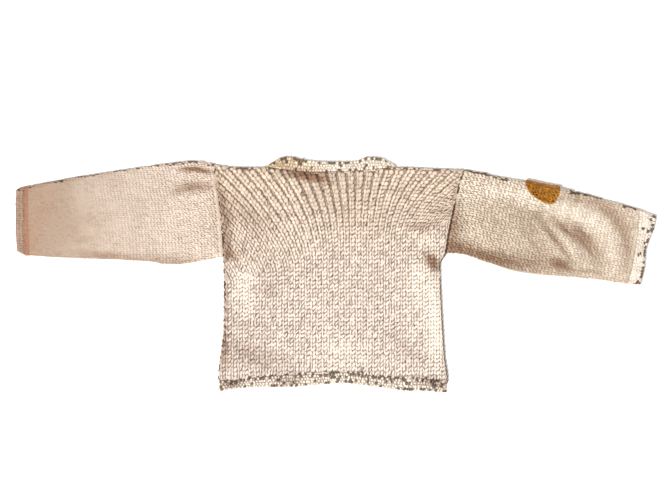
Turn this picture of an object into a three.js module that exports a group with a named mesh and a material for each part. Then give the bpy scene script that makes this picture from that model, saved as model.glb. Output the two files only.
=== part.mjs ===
// A child's hand-knitted wool sweater, laid flat on a table with its sleeves spread.
// Millimetres. +X runs from sleeve to sleeve, +Y from the hem to the neck and +Z up from the table.
// Each piece that is knitted and sewn on is one closed solid of cloth. Two layers lie on each other
// everywhere, because the body and both sleeves are tubes that are pressed flat.

import * as THREE from 'three';

// ---------------------------------------------------------------- driving dimensions

const WALL = 3.0; // thickness of the knitted cloth
const AIR = 0.6; // left between two layers that lie on each other
const GAP = 0.3; // between two pieces where they are sewn together
const LAID = 2 * WALL + AIR; // two layers, up from the table
const MIDDLE = LAID / 2; // height at which the two layers meet
const FOLD_RADIUS = MIDDLE; // the cloth turns over through half a circle at a folded edge

const EDGE_ROUND = 3.5; // width over which a panel's edge rounds down
const FOLDED_EDGE_DROP = 2.5; // how far it comes down where front and back turn into each other
const SEAM_DROP = 1.3; // how far it comes down into a seam between two pieces
const SEAM_WELT = 0.9; // height of the seam allowance, felt under the cloth beside an armhole
const SEAM_WELT_AT = 4.5; // distance of that welt from the armhole
const LOFT = 0.9; // how far the upper layer of a sleeve stands off the lower one in its middle

const HEM_LEFT = -159;
const HEM_RIGHT = 148;
const NECK_LEFT = -93; // the neckband's folded ends
const NECK_RIGHT = 80;
const UNDERARM_Y = 25; // the body's side edge becomes the armhole here

// Wales are the columns of stitches. They run straight up the body and fan out over the chest,
// where they stand up as ribs.
const WALE_WIDTH = 7.6; // spacing on the straight part of the body
const FAN_X = 25; // the wale that stays straight all the way up
const FAN_START = 35; // height at which that wale's neighbours begin to lean out
const FAN_START_SLOPE = 0.28; // wales further to the right begin higher up
const FAN_END = 147; // height of the shoulders
const FAN_SPREAD = 0.8; // share by which the innermost wales draw apart at the shoulders,
const FAN_SPREAD_OUTSIDE = 1.1; // and the wales from FAN_WIDTH outwards
const FAN_POWER = 2.3; // the wales near the middle bend late, just under the shoulders,
const FAN_POWER_OUTSIDE = 1.45; // and those from FAN_WIDTH outwards lean out early
const FAN_WIDTH = 95;
const RIB_HEIGHT = 1.7;
const RIB_FADE = [42, 88]; // the ribs rise out of the plain knitting between these heights
const RIB_PROFILE = [0, 0.75, 1, 0.75]; // a valley, then up over the crest, across one wale

const CUFF_RIBS = 13; // ribs on the upper side of the left cuff
const CUFF_RIB_HEIGHT = 0.8;
const GARTER_ROWS = 2; // ridges along the hem, the neckband and the right cuff
const GARTER_HEIGHT = 0.8;

const PATCH_WALL = 1.6;
const PATCH_GAP = 0.8; // from the sleeve's surface, more than its facets stand in or out
const PATCH_START = 256; // where the patch begins along the sleeve's upper fold, by x
const PATCH_LENGTH = 45.5;
const PATCH_LIFT_REACH = 20; // over which the sleeve comes back down to the table round the patch
const PATCH_LIFT_MARGIN = 6; // and it stays up this far past the patch's ends

// ---------------------------------------------------------------- outline tables

// The body's two side edges, which become the armholes above the underarm.
const SIDES = [
  { y: -160, left: -158.5, right: 145.5 },
  { y: -147, left: -159.6, right: 149.5 },
  { y: -134, left: -159.6, right: 149.5 },
  { y: -118, left: -157.8, right: 147.0 },
  { y: -98, left: -155.0, right: 145.2 },
  { y: -72, left: -152.5, right: 143.6 },
  { y: -36, left: -152.0, right: 141.6 },
  { y: 0, left: -152.0, right: 140.0 },
  { y: 17, left: -152.5, right: 140.5 },
  { y: 27, left: -153.0, right: 146.4 },
  { y: 54, left: -154.6, right: 151.2 },
  { y: 78, left: -156.6, right: 155.8 },
  { y: 100, left: -159.2, right: 160.6 },
  { y: 122, left: -162.4, right: 165.9 },
  { y: 140, left: -165.8, right: 170.6 },
  { y: 153, left: -168.6, right: 173.8 },
];

// The body's upper edge: a shoulder, the neckline and the other shoulder.
const TOP = [
  { x: -172, y: 150.2 },
  { x: -156, y: 147.4 },
  { x: -138, y: 145.6 },
  { x: -102, y: 145.2 },
  { x: -90, y: 145.0 },
  { x: -70, y: 142.2 },
  { x: -54, y: 140.2 },
  { x: -37, y: 138.9 },
  { x: -6, y: 139.6 },
  { x: 14, y: 139.9 },
  { x: 42, y: 142.0 },
  { x: 60, y: 144.0 },
  { x: 76, y: 145.0 },
  { x: 92, y: 145.4 },
  { x: 115, y: 144.3 },
  { x: 151, y: 142.9 },
  { x: 176, y: 142.0 },
];

// The upper edge of the neckband, which stands up at its two ends.
const NECKBAND_TOP = [
  { x: -93, y: 148.0 },
  { x: -84, y: 153.4 },
  { x: -73, y: 159.0 },
  { x: -62, y: 159.4 },
  { x: -48, y: 156.4 },
  { x: -24, y: 153.4 },
  { x: 13, y: 152.8 },
  { x: 27, y: 153.6 },
  { x: 38, y: 158.4 },
  { x: 51, y: 159.0 },
  { x: 63, y: 157.0 },
  { x: 72, y: 151.6 },
  { x: 80, y: 147.6 },
];

// The seam between the body and the hem band, and the lower edge of that band.
const HEM = [
  { x: -162, seam: -141.8, edge: -158.4 },
  { x: -145, seam: -142.0, edge: -154.6 },
  { x: -122, seam: -140.0, edge: -152.2 },
  { x: -98, seam: -137.4, edge: -151.6 },
  { x: -60, seam: -134.8, edge: -150.8 },
  { x: -22, seam: -134.0, edge: -148.0 },
  { x: 8, seam: -131.8, edge: -145.8 },
  { x: 30, seam: -133.6, edge: -148.2 },
  { x: 56, seam: -137.2, edge: -151.0 },
  { x: 88, seam: -139.8, edge: -155.6 },
  { x: 118, seam: -140.0, edge: -156.4 },
  { x: 134, seam: -143.2, edge: -157.6 },
  { x: 151, seam: -148.4, edge: -159.0 },
];

// Each sleeve's folded edges, from the armhole outwards, and its two cuff lines.
const SLEEVES = {
  left: {
    shoulderY: 150.2,
    underarmY: 24.6,
    over: [[-184, 153.6], [-207, 153.4], [-248, 148.2], [-290, 142.2], [-330, 136.2], [-372, 129.0]],
    under: [[-180, 19.4], [-206, 14.4], [-228, 14.4], [-262, 18.4], [-310, 20.8], [-372, 23.2]],
    cuffSeam: [[-420.5, 26.2], [-421.8, 72], [-422.0, 119.4]],
    cuffEdge: [[-431.6, 32.0], [-433.0, 74], [-432.6, 115.6]],
  },
  right: {
    shoulderY: 141.8,
    underarmY: 29.5,
    over: [[198.6, 138.0], [221, 132.2], [242, 129.4], [281, 120.8], [306, 116.8], [362, 102.6]],
    under: [
      [172, 27.6], [194, 20.2], [217, 11.8], [238, 5.0],
      [262, 0.8], [284, -1.4], [320, -3.0], [358, -7.6],
    ],
    cuffSeam: [[393.5, -11.8], [399.6, 12], [405.6, 46], [409.6, 88.8]],
    cuffEdge: [[410.4, -12.8], [415.4, 8], [418.2, 36], [427.2, 60], [432.0, 79.8]],
  },
};

// Soft folds: ridges (height above 0) and troughs (below 0), each along a path over the table.
const FOLDS = [
  { piece: 'right', path: [[176, 116], [216, 117], [254, 112], [282, 98]], width: 15, height: 1.5 },
  { piece: 'right', path: [[262, 108], [300, 88], [342, 67], [381, 26]], width: 11, height: 1.9 },
  { piece: 'right', path: [[240, 78], [268, 62], [302, 44], [334, 20]], width: 10, height: 1.4 },
  { piece: 'right', path: [[176, 74], [214, 50], [246, 24]], width: 13, height: 0.9 },
  { piece: 'right', path: [[262, 88], [298, 70], [326, 52], [352, 30]], width: 10, height: -1.0 },
  { piece: 'right', path: [[350, 92], [380, 70], [394, 40], [392, 12]], width: 10, height: -1.0 },
  { piece: 'right', path: [[284, 24], [300, 15], [320, 7]], width: 8, height: -1.0 },
  { piece: 'right', path: [[150, 36], [187, 27], [221, 18], [250, 12]], width: 8, height: -1.1 },
  { piece: 'left', path: [[-200, 142], [-186, 142.5], [-168, 140]], width: 6, height: -1.1 },
  { piece: 'left', path: [[-224, 112], [-194, 118.5], [-166, 117]], width: 7, height: -1.2 },
  { piece: 'left', path: [[-212, 130], [-188, 131], [-165, 129]], width: 9, height: 1.0 },
  { piece: 'left', path: [[-362, 45], [-338, 48], [-314, 54]], width: 7, height: -0.9 },
  { piece: 'left', path: [[-350, 34], [-312, 30], [-272, 27]], width: 7, height: -0.9 },
  { piece: 'left', path: [[-248, 36], [-226, 32], [-204, 34]], width: 8, height: -0.9 },
  { piece: 'left', path: [[-340, 92], [-290, 84], [-236, 88]], width: 26, height: 0.8 },
  { piece: 'body', path: [[-152, -92], [-110, -112], [-62, -127]], width: 9, height: -0.7 },
  { piece: 'body', path: [[-146, 32], [-139, 24], [-126, 18]], width: 7, height: -0.8 },
  { piece: 'body', path: [[136, 24], [129, 12], [122, -4]], width: 7, height: 0.8 },
  { piece: 'body', path: [[122, 0], [128, -60], [130, -118]], width: 20, height: 0.6 },
  { piece: 'body', path: [[-96, 8], [-40, -24], [10, -30]], width: 30, height: 0.5 },
];

// How far the patch reaches from the fold, over the sleeve and under it, along its length.
const PATCH = [
  { along: 0, over: 6.0, under: 7.0 },
  { along: 5, over: 12.6, under: 12.0 },
  { along: 14, over: 19.6, under: 15.0 },
  { along: 30, over: 24.6, under: 15.5 },
  { along: 40, over: 23.4, under: 11.0 },
  { along: 45.5, over: 11.0, under: 6.0 },
];

// ---------------------------------------------------------------- small functions

const { clamp, lerp, smoothstep } = THREE.MathUtils;

// A smooth line through the points (at[i], value[i]).
function smoothLine(at, value) {
  const last = at.length - 1;
  const slope = value.map((_, i) => {
    const before = Math.max(i - 1, 0);
    const after = Math.min(i + 1, last);
    return (value[after] - value[before]) / (at[after] - at[before]);
  });
  return (place) => {
    let i = 0;
    while (i < last - 1 && place > at[i + 1]) {
      i += 1;
    }
    const length = at[i + 1] - at[i];
    const k = clamp((place - at[i]) / length, 0, 1);
    const rise = k * k * (3 - 2 * k);
    const leaving = k * (1 - k) * (1 - k) * length * slope[i];
    const arriving = k * k * (k - 1) * length * slope[i + 1];
    return lerp(value[i], value[i + 1], rise) + leaving + arriving;
  };
}

// The same through two columns of a table.
function column(rows, at, value) {
  return smoothLine(rows.map((row) => row[at]), rows.map((row) => row[value]));
}

// A smooth curve through [x, y] points, walked from 0 to 1.
function smoothCurve(points) {
  const at = [0];
  for (let i = 1; i < points.length; i += 1) {
    at.push(at[i - 1] + Math.hypot(points[i][0] - points[i - 1][0], points[i][1] - points[i - 1][1]));
  }
  const x = smoothLine(at, points.map((point) => point[0]));
  const y = smoothLine(at, points.map((point) => point[1]));
  const length = at[at.length - 1];
  return (t) => [x(t * length), y(t * length)];
}

// A point inside four curves: start and end cross the piece, low and high run along it.
function between(start, end, low, high) {
  const corner = [start(0), start(1), end(0), end(1)];
  return (s, w) => [0, 1].map((i) => {
    const acrossways = lerp(start(w)[i], end(w)[i], s);
    const lengthways = lerp(low(s)[i], high(s)[i], w);
    const corners = lerp(lerp(corner[0][i], corner[1][i], w), lerp(corner[2][i], corner[3][i], w), s);
    return acrossways + lengthways - corners;
  });
}

// A quarter round: how far an edge has come down at a distance from it.
function roundedDrop(distance, depth) {
  const k = clamp(1 - distance / EDGE_ROUND, 0, 1);
  return depth * (1 - Math.sqrt(1 - k * k));
}

// The height that the soft folds of one piece add at a place on the table.
function foldsOf(piece) {
  const steps = 14;
  const traced = FOLDS.filter((fold) => fold.piece === piece).map((fold) => {
    const curve = smoothCurve(fold.path);
    const points = Array.from({ length: steps + 1 }, (_, i) => curve(i / steps));
    return { ...fold, points };
  });
  return (x, y) => traced.reduce((sum, fold) => {
    let best = 0;
    fold.points.forEach(([px, py], i) => {
      const nearness = 1 - Math.hypot(x - px, y - py) / (2 * fold.width);
      const taper = Math.sin((Math.PI * (i + 1.5)) / (steps + 3));
      best = Math.max(best, smoothstep(nearness, 0, 1) * taper);
    });
    return sum + fold.height * best;
  }, 0);
}

// One mesh from its corners and triangles, turned so that its faces point out.
function solid(name, corners, triangles, colour) {
  const geometry = new THREE.BufferGeometry();
  const volume = triangles.reduce((sum, [a, b, c]) => {
    const [p, q, r] = [a, b, c].map((i) => new THREE.Vector3(...corners[i]));
    return sum + p.dot(q.cross(r));
  }, 0);
  const facing = volume > 0 ? triangles : triangles.map(([a, b, c]) => [a, c, b]);
  geometry.setAttribute('position', new THREE.Float32BufferAttribute(corners.flat(), 3));
  geometry.setIndex(facing.flat());
  geometry.computeVertexNormals();
  const material = new THREE.MeshStandardMaterial({ color: colour, roughness: 0.95, metalness: 0 });
  const mesh = new THREE.Mesh(geometry, material);
  mesh.name = name;
  return mesh;
}

// ---------------------------------------------------------------- tubes pressed flat

const QUARTER = Math.PI / 2;
const ROUND_STEPS = [1 / 3, 2 / 3]; // corners on a quarter of a folded edge

// One turn round a flattened tube. Each corner has a side (+1 on top), the folded edge that it is
// nearest to (rim 0 or 1), its turn round that fold, and on the flat its share of the way across.
function turnRound(columnsAbove, columnsBelow) {
  const rising = (rim, side) => ROUND_STEPS.map((step) => ({ rim, side, turn: step * QUARTER }));
  const flat = (columns, side) => Array.from({ length: columns + 1 }, (_, i) => (
    { rim: 0, side, turn: QUARTER, across: i / columns }
  ));
  return [
    { rim: 0, side: 1, turn: 0 },
    ...rising(0, 1),
    ...flat(columnsAbove, 1),
    ...rising(1, 1).reverse(),
    { rim: 1, side: 1, turn: 0 },
    ...rising(1, -1),
    ...flat(columnsBelow, -1).reverse(),
    ...rising(0, -1).reverse(),
  ];
}

// A point of a flattened tube: depth 0 is its outer face, WALL its inner face, and less than 0
// lies outside it. The folds move both faces, and the relief only the outer one.
function tubePoint(tube, s, corner, depth) {
  const low = tube.plan(s, 0);
  const high = tube.plan(s, 1);
  const width = Math.hypot(high[0] - low[0], high[1] - low[1]);
  const radius = FOLD_RADIUS - depth;
  const fromRim = depth + radius * (1 - Math.cos(corner.turn));
  const onFlat = FOLD_RADIUS + corner.across * (width - 2 * FOLD_RADIUS);
  const onFold = corner.rim ? width - fromRim : fromRim;
  const place = corner.turn < QUARTER ? onFold : onFlat;
  const inside = clamp(place, 0, width);
  const w = inside / width;
  const beyond = (place - inside) / width;
  const [x, y] = tube.plan(s, w).map((value, i) => value + beyond * (high[i] - low[i]));
  const spot = { x, y, s, w, fromLow: inside, fromHigh: width - inside };
  const round = Math.sin(corner.turn);
  const folds = corner.side > 0 ? tube.folds(spot) * round : 0;
  const relief = corner.side > 0 && depth <= 0 ? tube.relief(spot) * round : 0;
  return [x, y, MIDDLE + tube.lift(spot) + corner.side * radius * round + folds + relief];
}

function flatTube(name, colour, tube) {
  const loop = turnRound(tube.columnsAbove, tube.columnsBelow);
  const count = loop.length;
  const corners = [];
  tube.stations.forEach((s) => {
    loop.forEach((corner) => corners.push(tubePoint(tube, s, corner, 0)));
    loop.forEach((corner) => corners.push(tubePoint(tube, s, corner, WALL)));
  });
  const triangles = [];
  const quad = (a, b, c, d) => triangles.push([a, b, c], [a, c, d]);
  const end = (tube.stations.length - 1) * 2 * count;
  for (let i = 0; i < count; i += 1) {
    const j = (i + 1) % count;
    for (let here = 0; here < end; here += 2 * count) {
      const next = here + 2 * count;
      quad(here + i, here + j, next + j, next + i);
      quad(here + count + j, here + count + i, next + count + i, next + count + j);
    }
    quad(j, i, count + i, count + j);
    quad(end + i, end + j, end + count + j, end + count + i);
  }
  return solid(name, corners, triangles, colour);
}

// ---------------------------------------------------------------- the body's two panels

const leftSide = column(SIDES, 'y', 'left');
const rightSide = column(SIDES, 'y', 'right');
const topEdge = column(TOP, 'x', 'y');
const hemSeam = column(HEM, 'x', 'seam');
const hemEdge = column(HEM, 'x', 'edge');

const BODY_HEIGHT = 275; // from the hem seam to the neckline
const EDGE_STEPS = [0, 1, EDGE_ROUND]; // corners across a rounded edge
const SOLVE_STEPS = 8;
const PLAIN_WALES = 4; // wales between two columns of corners where the panel is plain
const PLAIN_START = 0.09; // shares of a panel's height: its first row past the rounded edge,
const RIB_START = 0.63; // the first row with corners on every rib,
const RIB_END = 0.975; // and where the rounded edge at the top begins

const rowHeight = (x, v) => lerp(hemSeam(x), topEdge(x), v);

// Where a wale has got to at height y.
function waleAt(start, y) {
  const out = start - FAN_X;
  const from = FAN_START + FAN_START_SLOPE * out;
  const k = clamp((y - from) / (FAN_END - from), 0, 1);
  const outside = smoothstep(Math.abs(out), 0, FAN_WIDTH);
  const spread = lerp(FAN_SPREAD, FAN_SPREAD_OUTSIDE, outside);
  return FAN_X + out * (1 + spread * k ** lerp(FAN_POWER, FAN_POWER_OUTSIDE, outside));
}

// The place in a row where x is what follow() says at that height.
function inRow(v, guess, follow) {
  let x = guess;
  for (let i = 0; i < SOLVE_STEPS; i += 1) {
    x = follow(rowHeight(x, v));
  }
  return x;
}

// The corners of one row, from the left edge to the right one. key orders them and matches rows.
function rowOf(v, wales) {
  const far = 1000;
  const leftX = inRow(v, -155, leftSide);
  const rightX = inRow(v, 145, rightSide);
  const clear = EDGE_ROUND + 1;
  const row = EDGE_STEPS.map((step, i) => ({ key: i - far, x: leftX + step }));
  wales.forEach((key) => {
    const x = inRow(v, key, (y) => waleAt(key, y));
    if (x > leftX + clear && x < rightX - clear) {
      row.push({ key, x });
    }
  });
  row.push(...[...EDGE_STEPS].reverse().map((step, i) => ({ key: far + i, x: rightX - step })));
  return row.map((point) => ({ ...point, y: rowHeight(point.x, v), v }));
}

// Triangles between two rows, by the order of their keys.
function zip(near, far) {
  const triangles = [];
  let i = 0;
  let j = 0;
  while (i < near.length - 1 || j < far.length - 1) {
    const farDone = j === far.length - 1;
    const nearDone = i === near.length - 1;
    if (farDone || (!nearDone && near[i + 1].key <= far[j + 1].key)) {
      triangles.push([near[i].at, near[i + 1].at, far[j].at]);
      i += 1;
    } else {
      triangles.push([near[i].at, far[j + 1].at, far[j].at]);
      j += 1;
    }
  }
  return triangles;
}

// A panel between its outer face, a height for each point, and its plain flat inside.
function panel(name, colour, rows, outerHeight, insideHeight) {
  const corners = [];
  const put = (points, height) => points.map((point) => {
    corners.push([point.x, point.y, height(point)]);
    return { key: point.key, at: corners.length - 1 };
  });
  const fromEnd = (i) => Math.min(i, rows.length - 1 - i);
  const insideRows = rows.map((row, i) => row.filter(({ key }) => {
    const share = (key - FAN_X) / WALE_WIDTH / (fromEnd(i) < EDGE_STEPS.length ? 1 : PLAIN_WALES);
    const onWale = Math.abs(share - Math.round(share)) < 0.01;
    return fromEnd(i) === 0 || key === row[0].key || key === row[row.length - 1].key || onWale;
  }));
  const outer = rows.map((row) => put(row, outerHeight));
  const inner = insideRows.map((row) => put(row, () => insideHeight));
  const triangles = [];
  const quad = (a, b, c, d) => triangles.push([a, b, c], [a, c, d]);
  const last = (row) => row[row.length - 1].at;
  for (let i = 0; i + 1 < rows.length; i += 1) {
    triangles.push(...zip(outer[i], outer[i + 1]));
    triangles.push(...zip(inner[i], inner[i + 1]).map(([a, b, c]) => [a, c, b]));
    quad(outer[i][0].at, outer[i + 1][0].at, inner[i + 1][0].at, inner[i][0].at);
    quad(last(outer[i + 1]), last(outer[i]), last(inner[i]), last(inner[i + 1]));
  }
  const [first, final] = [0, rows.length - 1];
  for (let i = 0; i + 1 < outer[first].length; i += 1) {
    quad(outer[first][i].at, inner[first][i].at, inner[first][i + 1].at, outer[first][i + 1].at);
  }
  for (let i = 0; i + 1 < outer[final].length; i += 1) {
    quad(outer[final][i + 1].at, inner[final][i + 1].at, inner[final][i].at, outer[final][i].at);
  }
  return solid(name, corners, triangles, colour);
}

// The distances from a point of a panel to its edges, and the drop that rounds them.
function edgesAt({ x, y, v }) {
  const side = Math.min(x - leftSide(y), rightSide(y) - x);
  const top = (1 - v) * BODY_HEIGHT;
  const bottom = v * BODY_HEIGHT;
  return { side, top, bottom };
}

function foldedDrop(point) {
  const { side, top } = edgesAt(point);
  const atSide = point.y < UNDERARM_Y ? roundedDrop(side, FOLDED_EDGE_DROP) : 0;
  const atShoulder = point.x < NECK_LEFT || point.x > NECK_RIGHT;
  return Math.max(atSide, atShoulder ? roundedDrop(top, FOLDED_EDGE_DROP) : 0);
}

function seamDrop(point) {
  const { side, top, bottom } = edgesAt(point);
  return Math.max(...[side, top, bottom].map((distance) => roundedDrop(distance, SEAM_DROP)));
}

// How far a wale's corner stands up, from its place across the wale and its height on the chest.
function ribHeight({ key, y }) {
  const phase = (key - FAN_X) / (WALE_WIDTH / RIB_PROFILE.length);
  const step = THREE.MathUtils.euclideanModulo(Math.round(phase), RIB_PROFILE.length);
  const onEdge = Math.abs(key) > 900;
  const profile = onEdge ? 0.5 : RIB_PROFILE[step];
  return RIB_HEIGHT * profile * smoothstep(y, ...RIB_FADE);
}

const bodyFolds = foldsOf('body');

function frontHeight(point) {
  const { side, top, bottom } = edgesAt(point);
  const inset = clamp(Math.min(side, top, bottom) / EDGE_ROUND, 0, 1);
  const drop = Math.max(foldedDrop(point), seamDrop(point));
  return LAID + (ribHeight(point) + bodyFolds(point.x, point.y)) * inset - drop;
}

// Rows up a panel, by their share of its height, and the wales that have corners in each.
function panelRows(plainStep, ribRows) {
  const rounded = EDGE_STEPS.map((step) => step / BODY_HEIGHT);
  const ribbed = ribRows > 0;
  const plainEnd = ribbed ? RIB_START : RIB_END;
  const plainRows = Math.round((plainEnd - PLAIN_START) / plainStep);
  const plain = Array.from({ length: plainRows }, (_, i) => (
    lerp(PLAIN_START, plainEnd, i / plainRows)
  ));
  const ribs = Array.from({ length: ribRows }, (_, i) => (
    lerp(RIB_START, RIB_END, (i + 0.5) / ribRows)
  ));
  const coarse = wales(PLAIN_WALES * WALE_WIDTH);
  const seam = wales(WALE_WIDTH);
  const fine = wales(WALE_WIDTH / RIB_PROFILE.length);
  const nearTop = ribbed ? fine : seam;
  return [
    ...rounded.map((v) => rowOf(v, seam)),
    ...plain.map((v) => rowOf(v, coarse)),
    ...ribs.map((v) => rowOf(v, fine)),
    ...[...rounded].reverse().map((step) => rowOf(1 - step, nearTop)),
  ];
}

// Where wales start at the hem, either side of the straight one.
function wales(spacing) {
  const reach = Math.ceil(200 / spacing);
  return Array.from({ length: 2 * reach + 1 }, (_, i) => FAN_X + (i - reach) * spacing);
}

// ---------------------------------------------------------------- sleeves, cuffs and bands

const none = () => 0;

// Stations along a piece of a given length: close together at both ends, where the cloth rounds off.
function stationsAlong(length, spacing, close) {
  const ends = close.map((step) => step / length);
  const reach = ends[ends.length - 1];
  const count = Math.max(1, Math.round(((1 - 2 * reach) * length) / spacing));
  const middle = Array.from({ length: count - 1 }, (_, i) => (
    lerp(reach, 1 - reach, (i + 1) / count)
  ));
  return [...ends, ...middle, ...[...ends].reverse().map((s) => 1 - s)];
}

function sleevePlan(side, table) {
  const outward = side === 'left' ? -1 : 1;
  const edge = side === 'left' ? leftSide : rightSide;
  const armhole = (w) => {
    const y = lerp(table.underarmY, table.shoulderY, w);
    return [edge(y) + outward * GAP, y];
  };
  const seam = smoothCurve(table.cuffSeam);
  const over = smoothCurve([armhole(1), ...table.over, seam(1)]);
  const under = smoothCurve([armhole(0), ...table.under, seam(0)]);
  return between(armhole, seam, under, over);
}

const SLEEVE_LENGTH = 255;

// The station of a tube whose high edge is at x.
function stationAt(plan, x) {
  let [before, after] = [0, 1];
  for (let i = 0; i < 30; i += 1) {
    const s = (before + after) / 2;
    [before, after] = plan(s, 1)[0] < x ? [s, after] : [before, s];
  }
  return before;
}

// Stations along a sleeve. Under the patch they are the patch's own.
function sleeveStations(side, plan) {
  const regular = stationsAlong(SLEEVE_LENGTH, 21, [0, 1.5, SEAM_WELT_AT, 9]);
  if (side === 'left') {
    return regular;
  }
  const patched = PATCH.map((row) => stationAt(plan, PATCH_START + row.along));
  const clear = 6 / SLEEVE_LENGTH;
  const [first, last] = [patched[0] - clear, patched[patched.length - 1] + clear];
  const apart = regular.filter((s) => s < first || s > last);
  return [...apart, ...patched].sort((a, b) => a - b);
}

function sleeve(side) {
  const folds = foldsOf(side);
  const plan = sleevePlan(side, SLEEVES[side]);
  return {
    plan,
    stations: sleeveStations(side, plan),
    columnsAbove: 12,
    columnsBelow: 7,
    lift: side === 'right' ? patchLift : none,
    folds: ({ x, y, w, fromLow, fromHigh }) => {
      const inset = smoothstep(Math.min(fromLow, fromHigh), FOLD_RADIUS, 14);
      return LOFT * Math.sin(Math.PI * w) + folds(x, y) * inset;
    },
    relief: ({ s }) => {
      const fromArmhole = s * SLEEVE_LENGTH;
      const fromCuff = (1 - s) * SLEEVE_LENGTH;
      const welt = SEAM_WELT * smoothstep(1 - Math.abs(fromArmhole - SEAM_WELT_AT) / 6, 0, 1);
      return welt - roundedDrop(Math.min(fromArmhole, fromCuff), SEAM_DROP);
    },
  };
}

// How far the sleeve is lifted off the table by the part of the patch that is folded under it.
function patchLift({ x, fromHigh }) {
  const past = Math.max(PATCH_START - x, x - PATCH_START - PATCH_LENGTH) - PATCH_LIFT_MARGIN;
  const alongside = 1 - Math.max(past, 0) / PATCH_LIFT_REACH;
  const inwards = 2 - fromHigh / PATCH_LIFT_REACH;
  return (PATCH_GAP + PATCH_WALL) * smoothstep(alongside, 0, 1) * smoothstep(inwards, 0, 1);
}

// Garter stitch: ridges that run along a band, with every other stitch a little higher.
function garter({ s, x }) {
  const ridge = Math.abs(Math.sin(Math.PI * GARTER_ROWS * s));
  const stitch = 0.75 + 0.25 * Math.cos((Math.PI * x) / WALE_WIDTH);
  return GARTER_HEIGHT * ridge * stitch;
}

const CUFF_LENGTH = 13;
const HEM_DEPTH = 15;
const NECKBAND_DEPTH = 13;
const GARTER_STATIONS = Array.from({ length: 2 * GARTER_ROWS + 1 }, (_, i) => i / (2 * GARTER_ROWS));
const CUFF_RIB_STATIONS = [0, 0.15, 0.85, 1];

function cuff(side) {
  const table = SLEEVES[side];
  const outward = side === 'left' ? -1 : 1;
  const [inner, edge] = [smoothCurve(table.cuffSeam), smoothCurve(table.cuffEdge)];
  const apart = (w) => [inner(w)[0] + outward * GAP, inner(w)[1]];
  const low = smoothCurve([apart(0), edge(0)]);
  const high = smoothCurve([apart(1), edge(1)]);
  const ribbed = ({ w }) => CUFF_RIB_HEIGHT * (0.5 - 0.5 * Math.cos(2 * Math.PI * CUFF_RIBS * w));
  const raised = side === 'left' ? ribbed : ({ s, y }) => garter({ s, x: y });
  return {
    plan: between(apart, edge, low, high),
    stations: side === 'left' ? CUFF_RIB_STATIONS : GARTER_STATIONS,
    columnsAbove: side === 'left' ? 2 * CUFF_RIBS : 12,
    columnsBelow: 7,
    lift: none,
    folds: ({ w }) => LOFT * Math.sin(Math.PI * w),
    relief: (spot) => {
      const end = CUFF_LENGTH * Math.min(spot.s, 1 - spot.s);
      return raised(spot) - roundedDrop(end * 2, SEAM_DROP);
    },
  };
}

// The hem band and the neckband: rings that lie flat, with their folds at the left and right.
function ring(nearEdge, farEdge, leftX, rightX, depth, columns) {
  const near = (w) => [lerp(leftX, rightX, w), nearEdge(lerp(leftX, rightX, w))];
  const farther = (w) => [lerp(leftX, rightX, w), farEdge(lerp(leftX, rightX, w))];
  const [low, high] = [0, 1].map((w) => smoothCurve([near(w), farther(w)]));
  return {
    plan: between(near, farther, low, high),
    stations: GARTER_STATIONS,
    columnsAbove: columns,
    columnsBelow: columns,
    lift: none,
    folds: none,
    relief: (spot) => garter(spot) - roundedDrop(2 * depth * Math.min(spot.s, 1 - spot.s), SEAM_DROP),
  };
}

// ---------------------------------------------------------------- the patch over the sleeve's fold

const ARC = FOLD_RADIUS * QUARTER; // from the middle of a folded edge to where the flat begins
const FOLD_STEPS = ROUND_STEPS.length + 1;
const PATCH_STEPS_UNDER = 3; // columns of the patch on the sleeve's lower layer
const PATCH_STEPS_OVER = 5;
const PATCH_ROWS_EACH = 3; // rows of corners from one of the sleeve's stations to the next

// A point at a distance round the sleeve's outer face from the middle of its folded edge, on the
// straight line between the two corners of the sleeve that it lies between.
function onSleeve(tube, s, distance, width, depth) {
  const side = distance < 0 ? -1 : 1;
  const columns = distance < 0 ? tube.columnsBelow : tube.columnsAbove;
  const past = Math.abs(distance) - ARC;
  const onFlat = (past / (width - 2 * FOLD_RADIUS)) * columns;
  const onFold = (past / ARC + 1) * FOLD_STEPS;
  const place = past > 0 ? onFlat : onFold;
  const corner = (step) => (past > 0
    ? { rim: 1, side, turn: QUARTER, across: 1 - step / columns }
    : { rim: 1, side, turn: (step / FOLD_STEPS) * QUARTER, across: 1 });
  const before = tubePoint(tube, s, corner(Math.floor(place)), depth);
  const after = tubePoint(tube, s, corner(Math.floor(place) + 1), depth);
  return before.map((value, i) => lerp(value, after[i], place - Math.floor(place)));
}

// Distances round the fold at which a row of the patch has corners. Those on the fold are the
// sleeve's own, so that the patch turns round it at an even distance.
function patchColumns(under, over) {
  const shares = (count) => Array.from({ length: count }, (_, i) => i / count);
  return [
    ...shares(PATCH_STEPS_UNDER).map((share) => lerp(-under, -ARC, share)),
    ...shares(2 * FOLD_STEPS).map((share) => lerp(-ARC, ARC, share)),
    ...shares(PATCH_STEPS_OVER).map((share) => lerp(ARC, over, share)),
    over,
  ];
}

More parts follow.
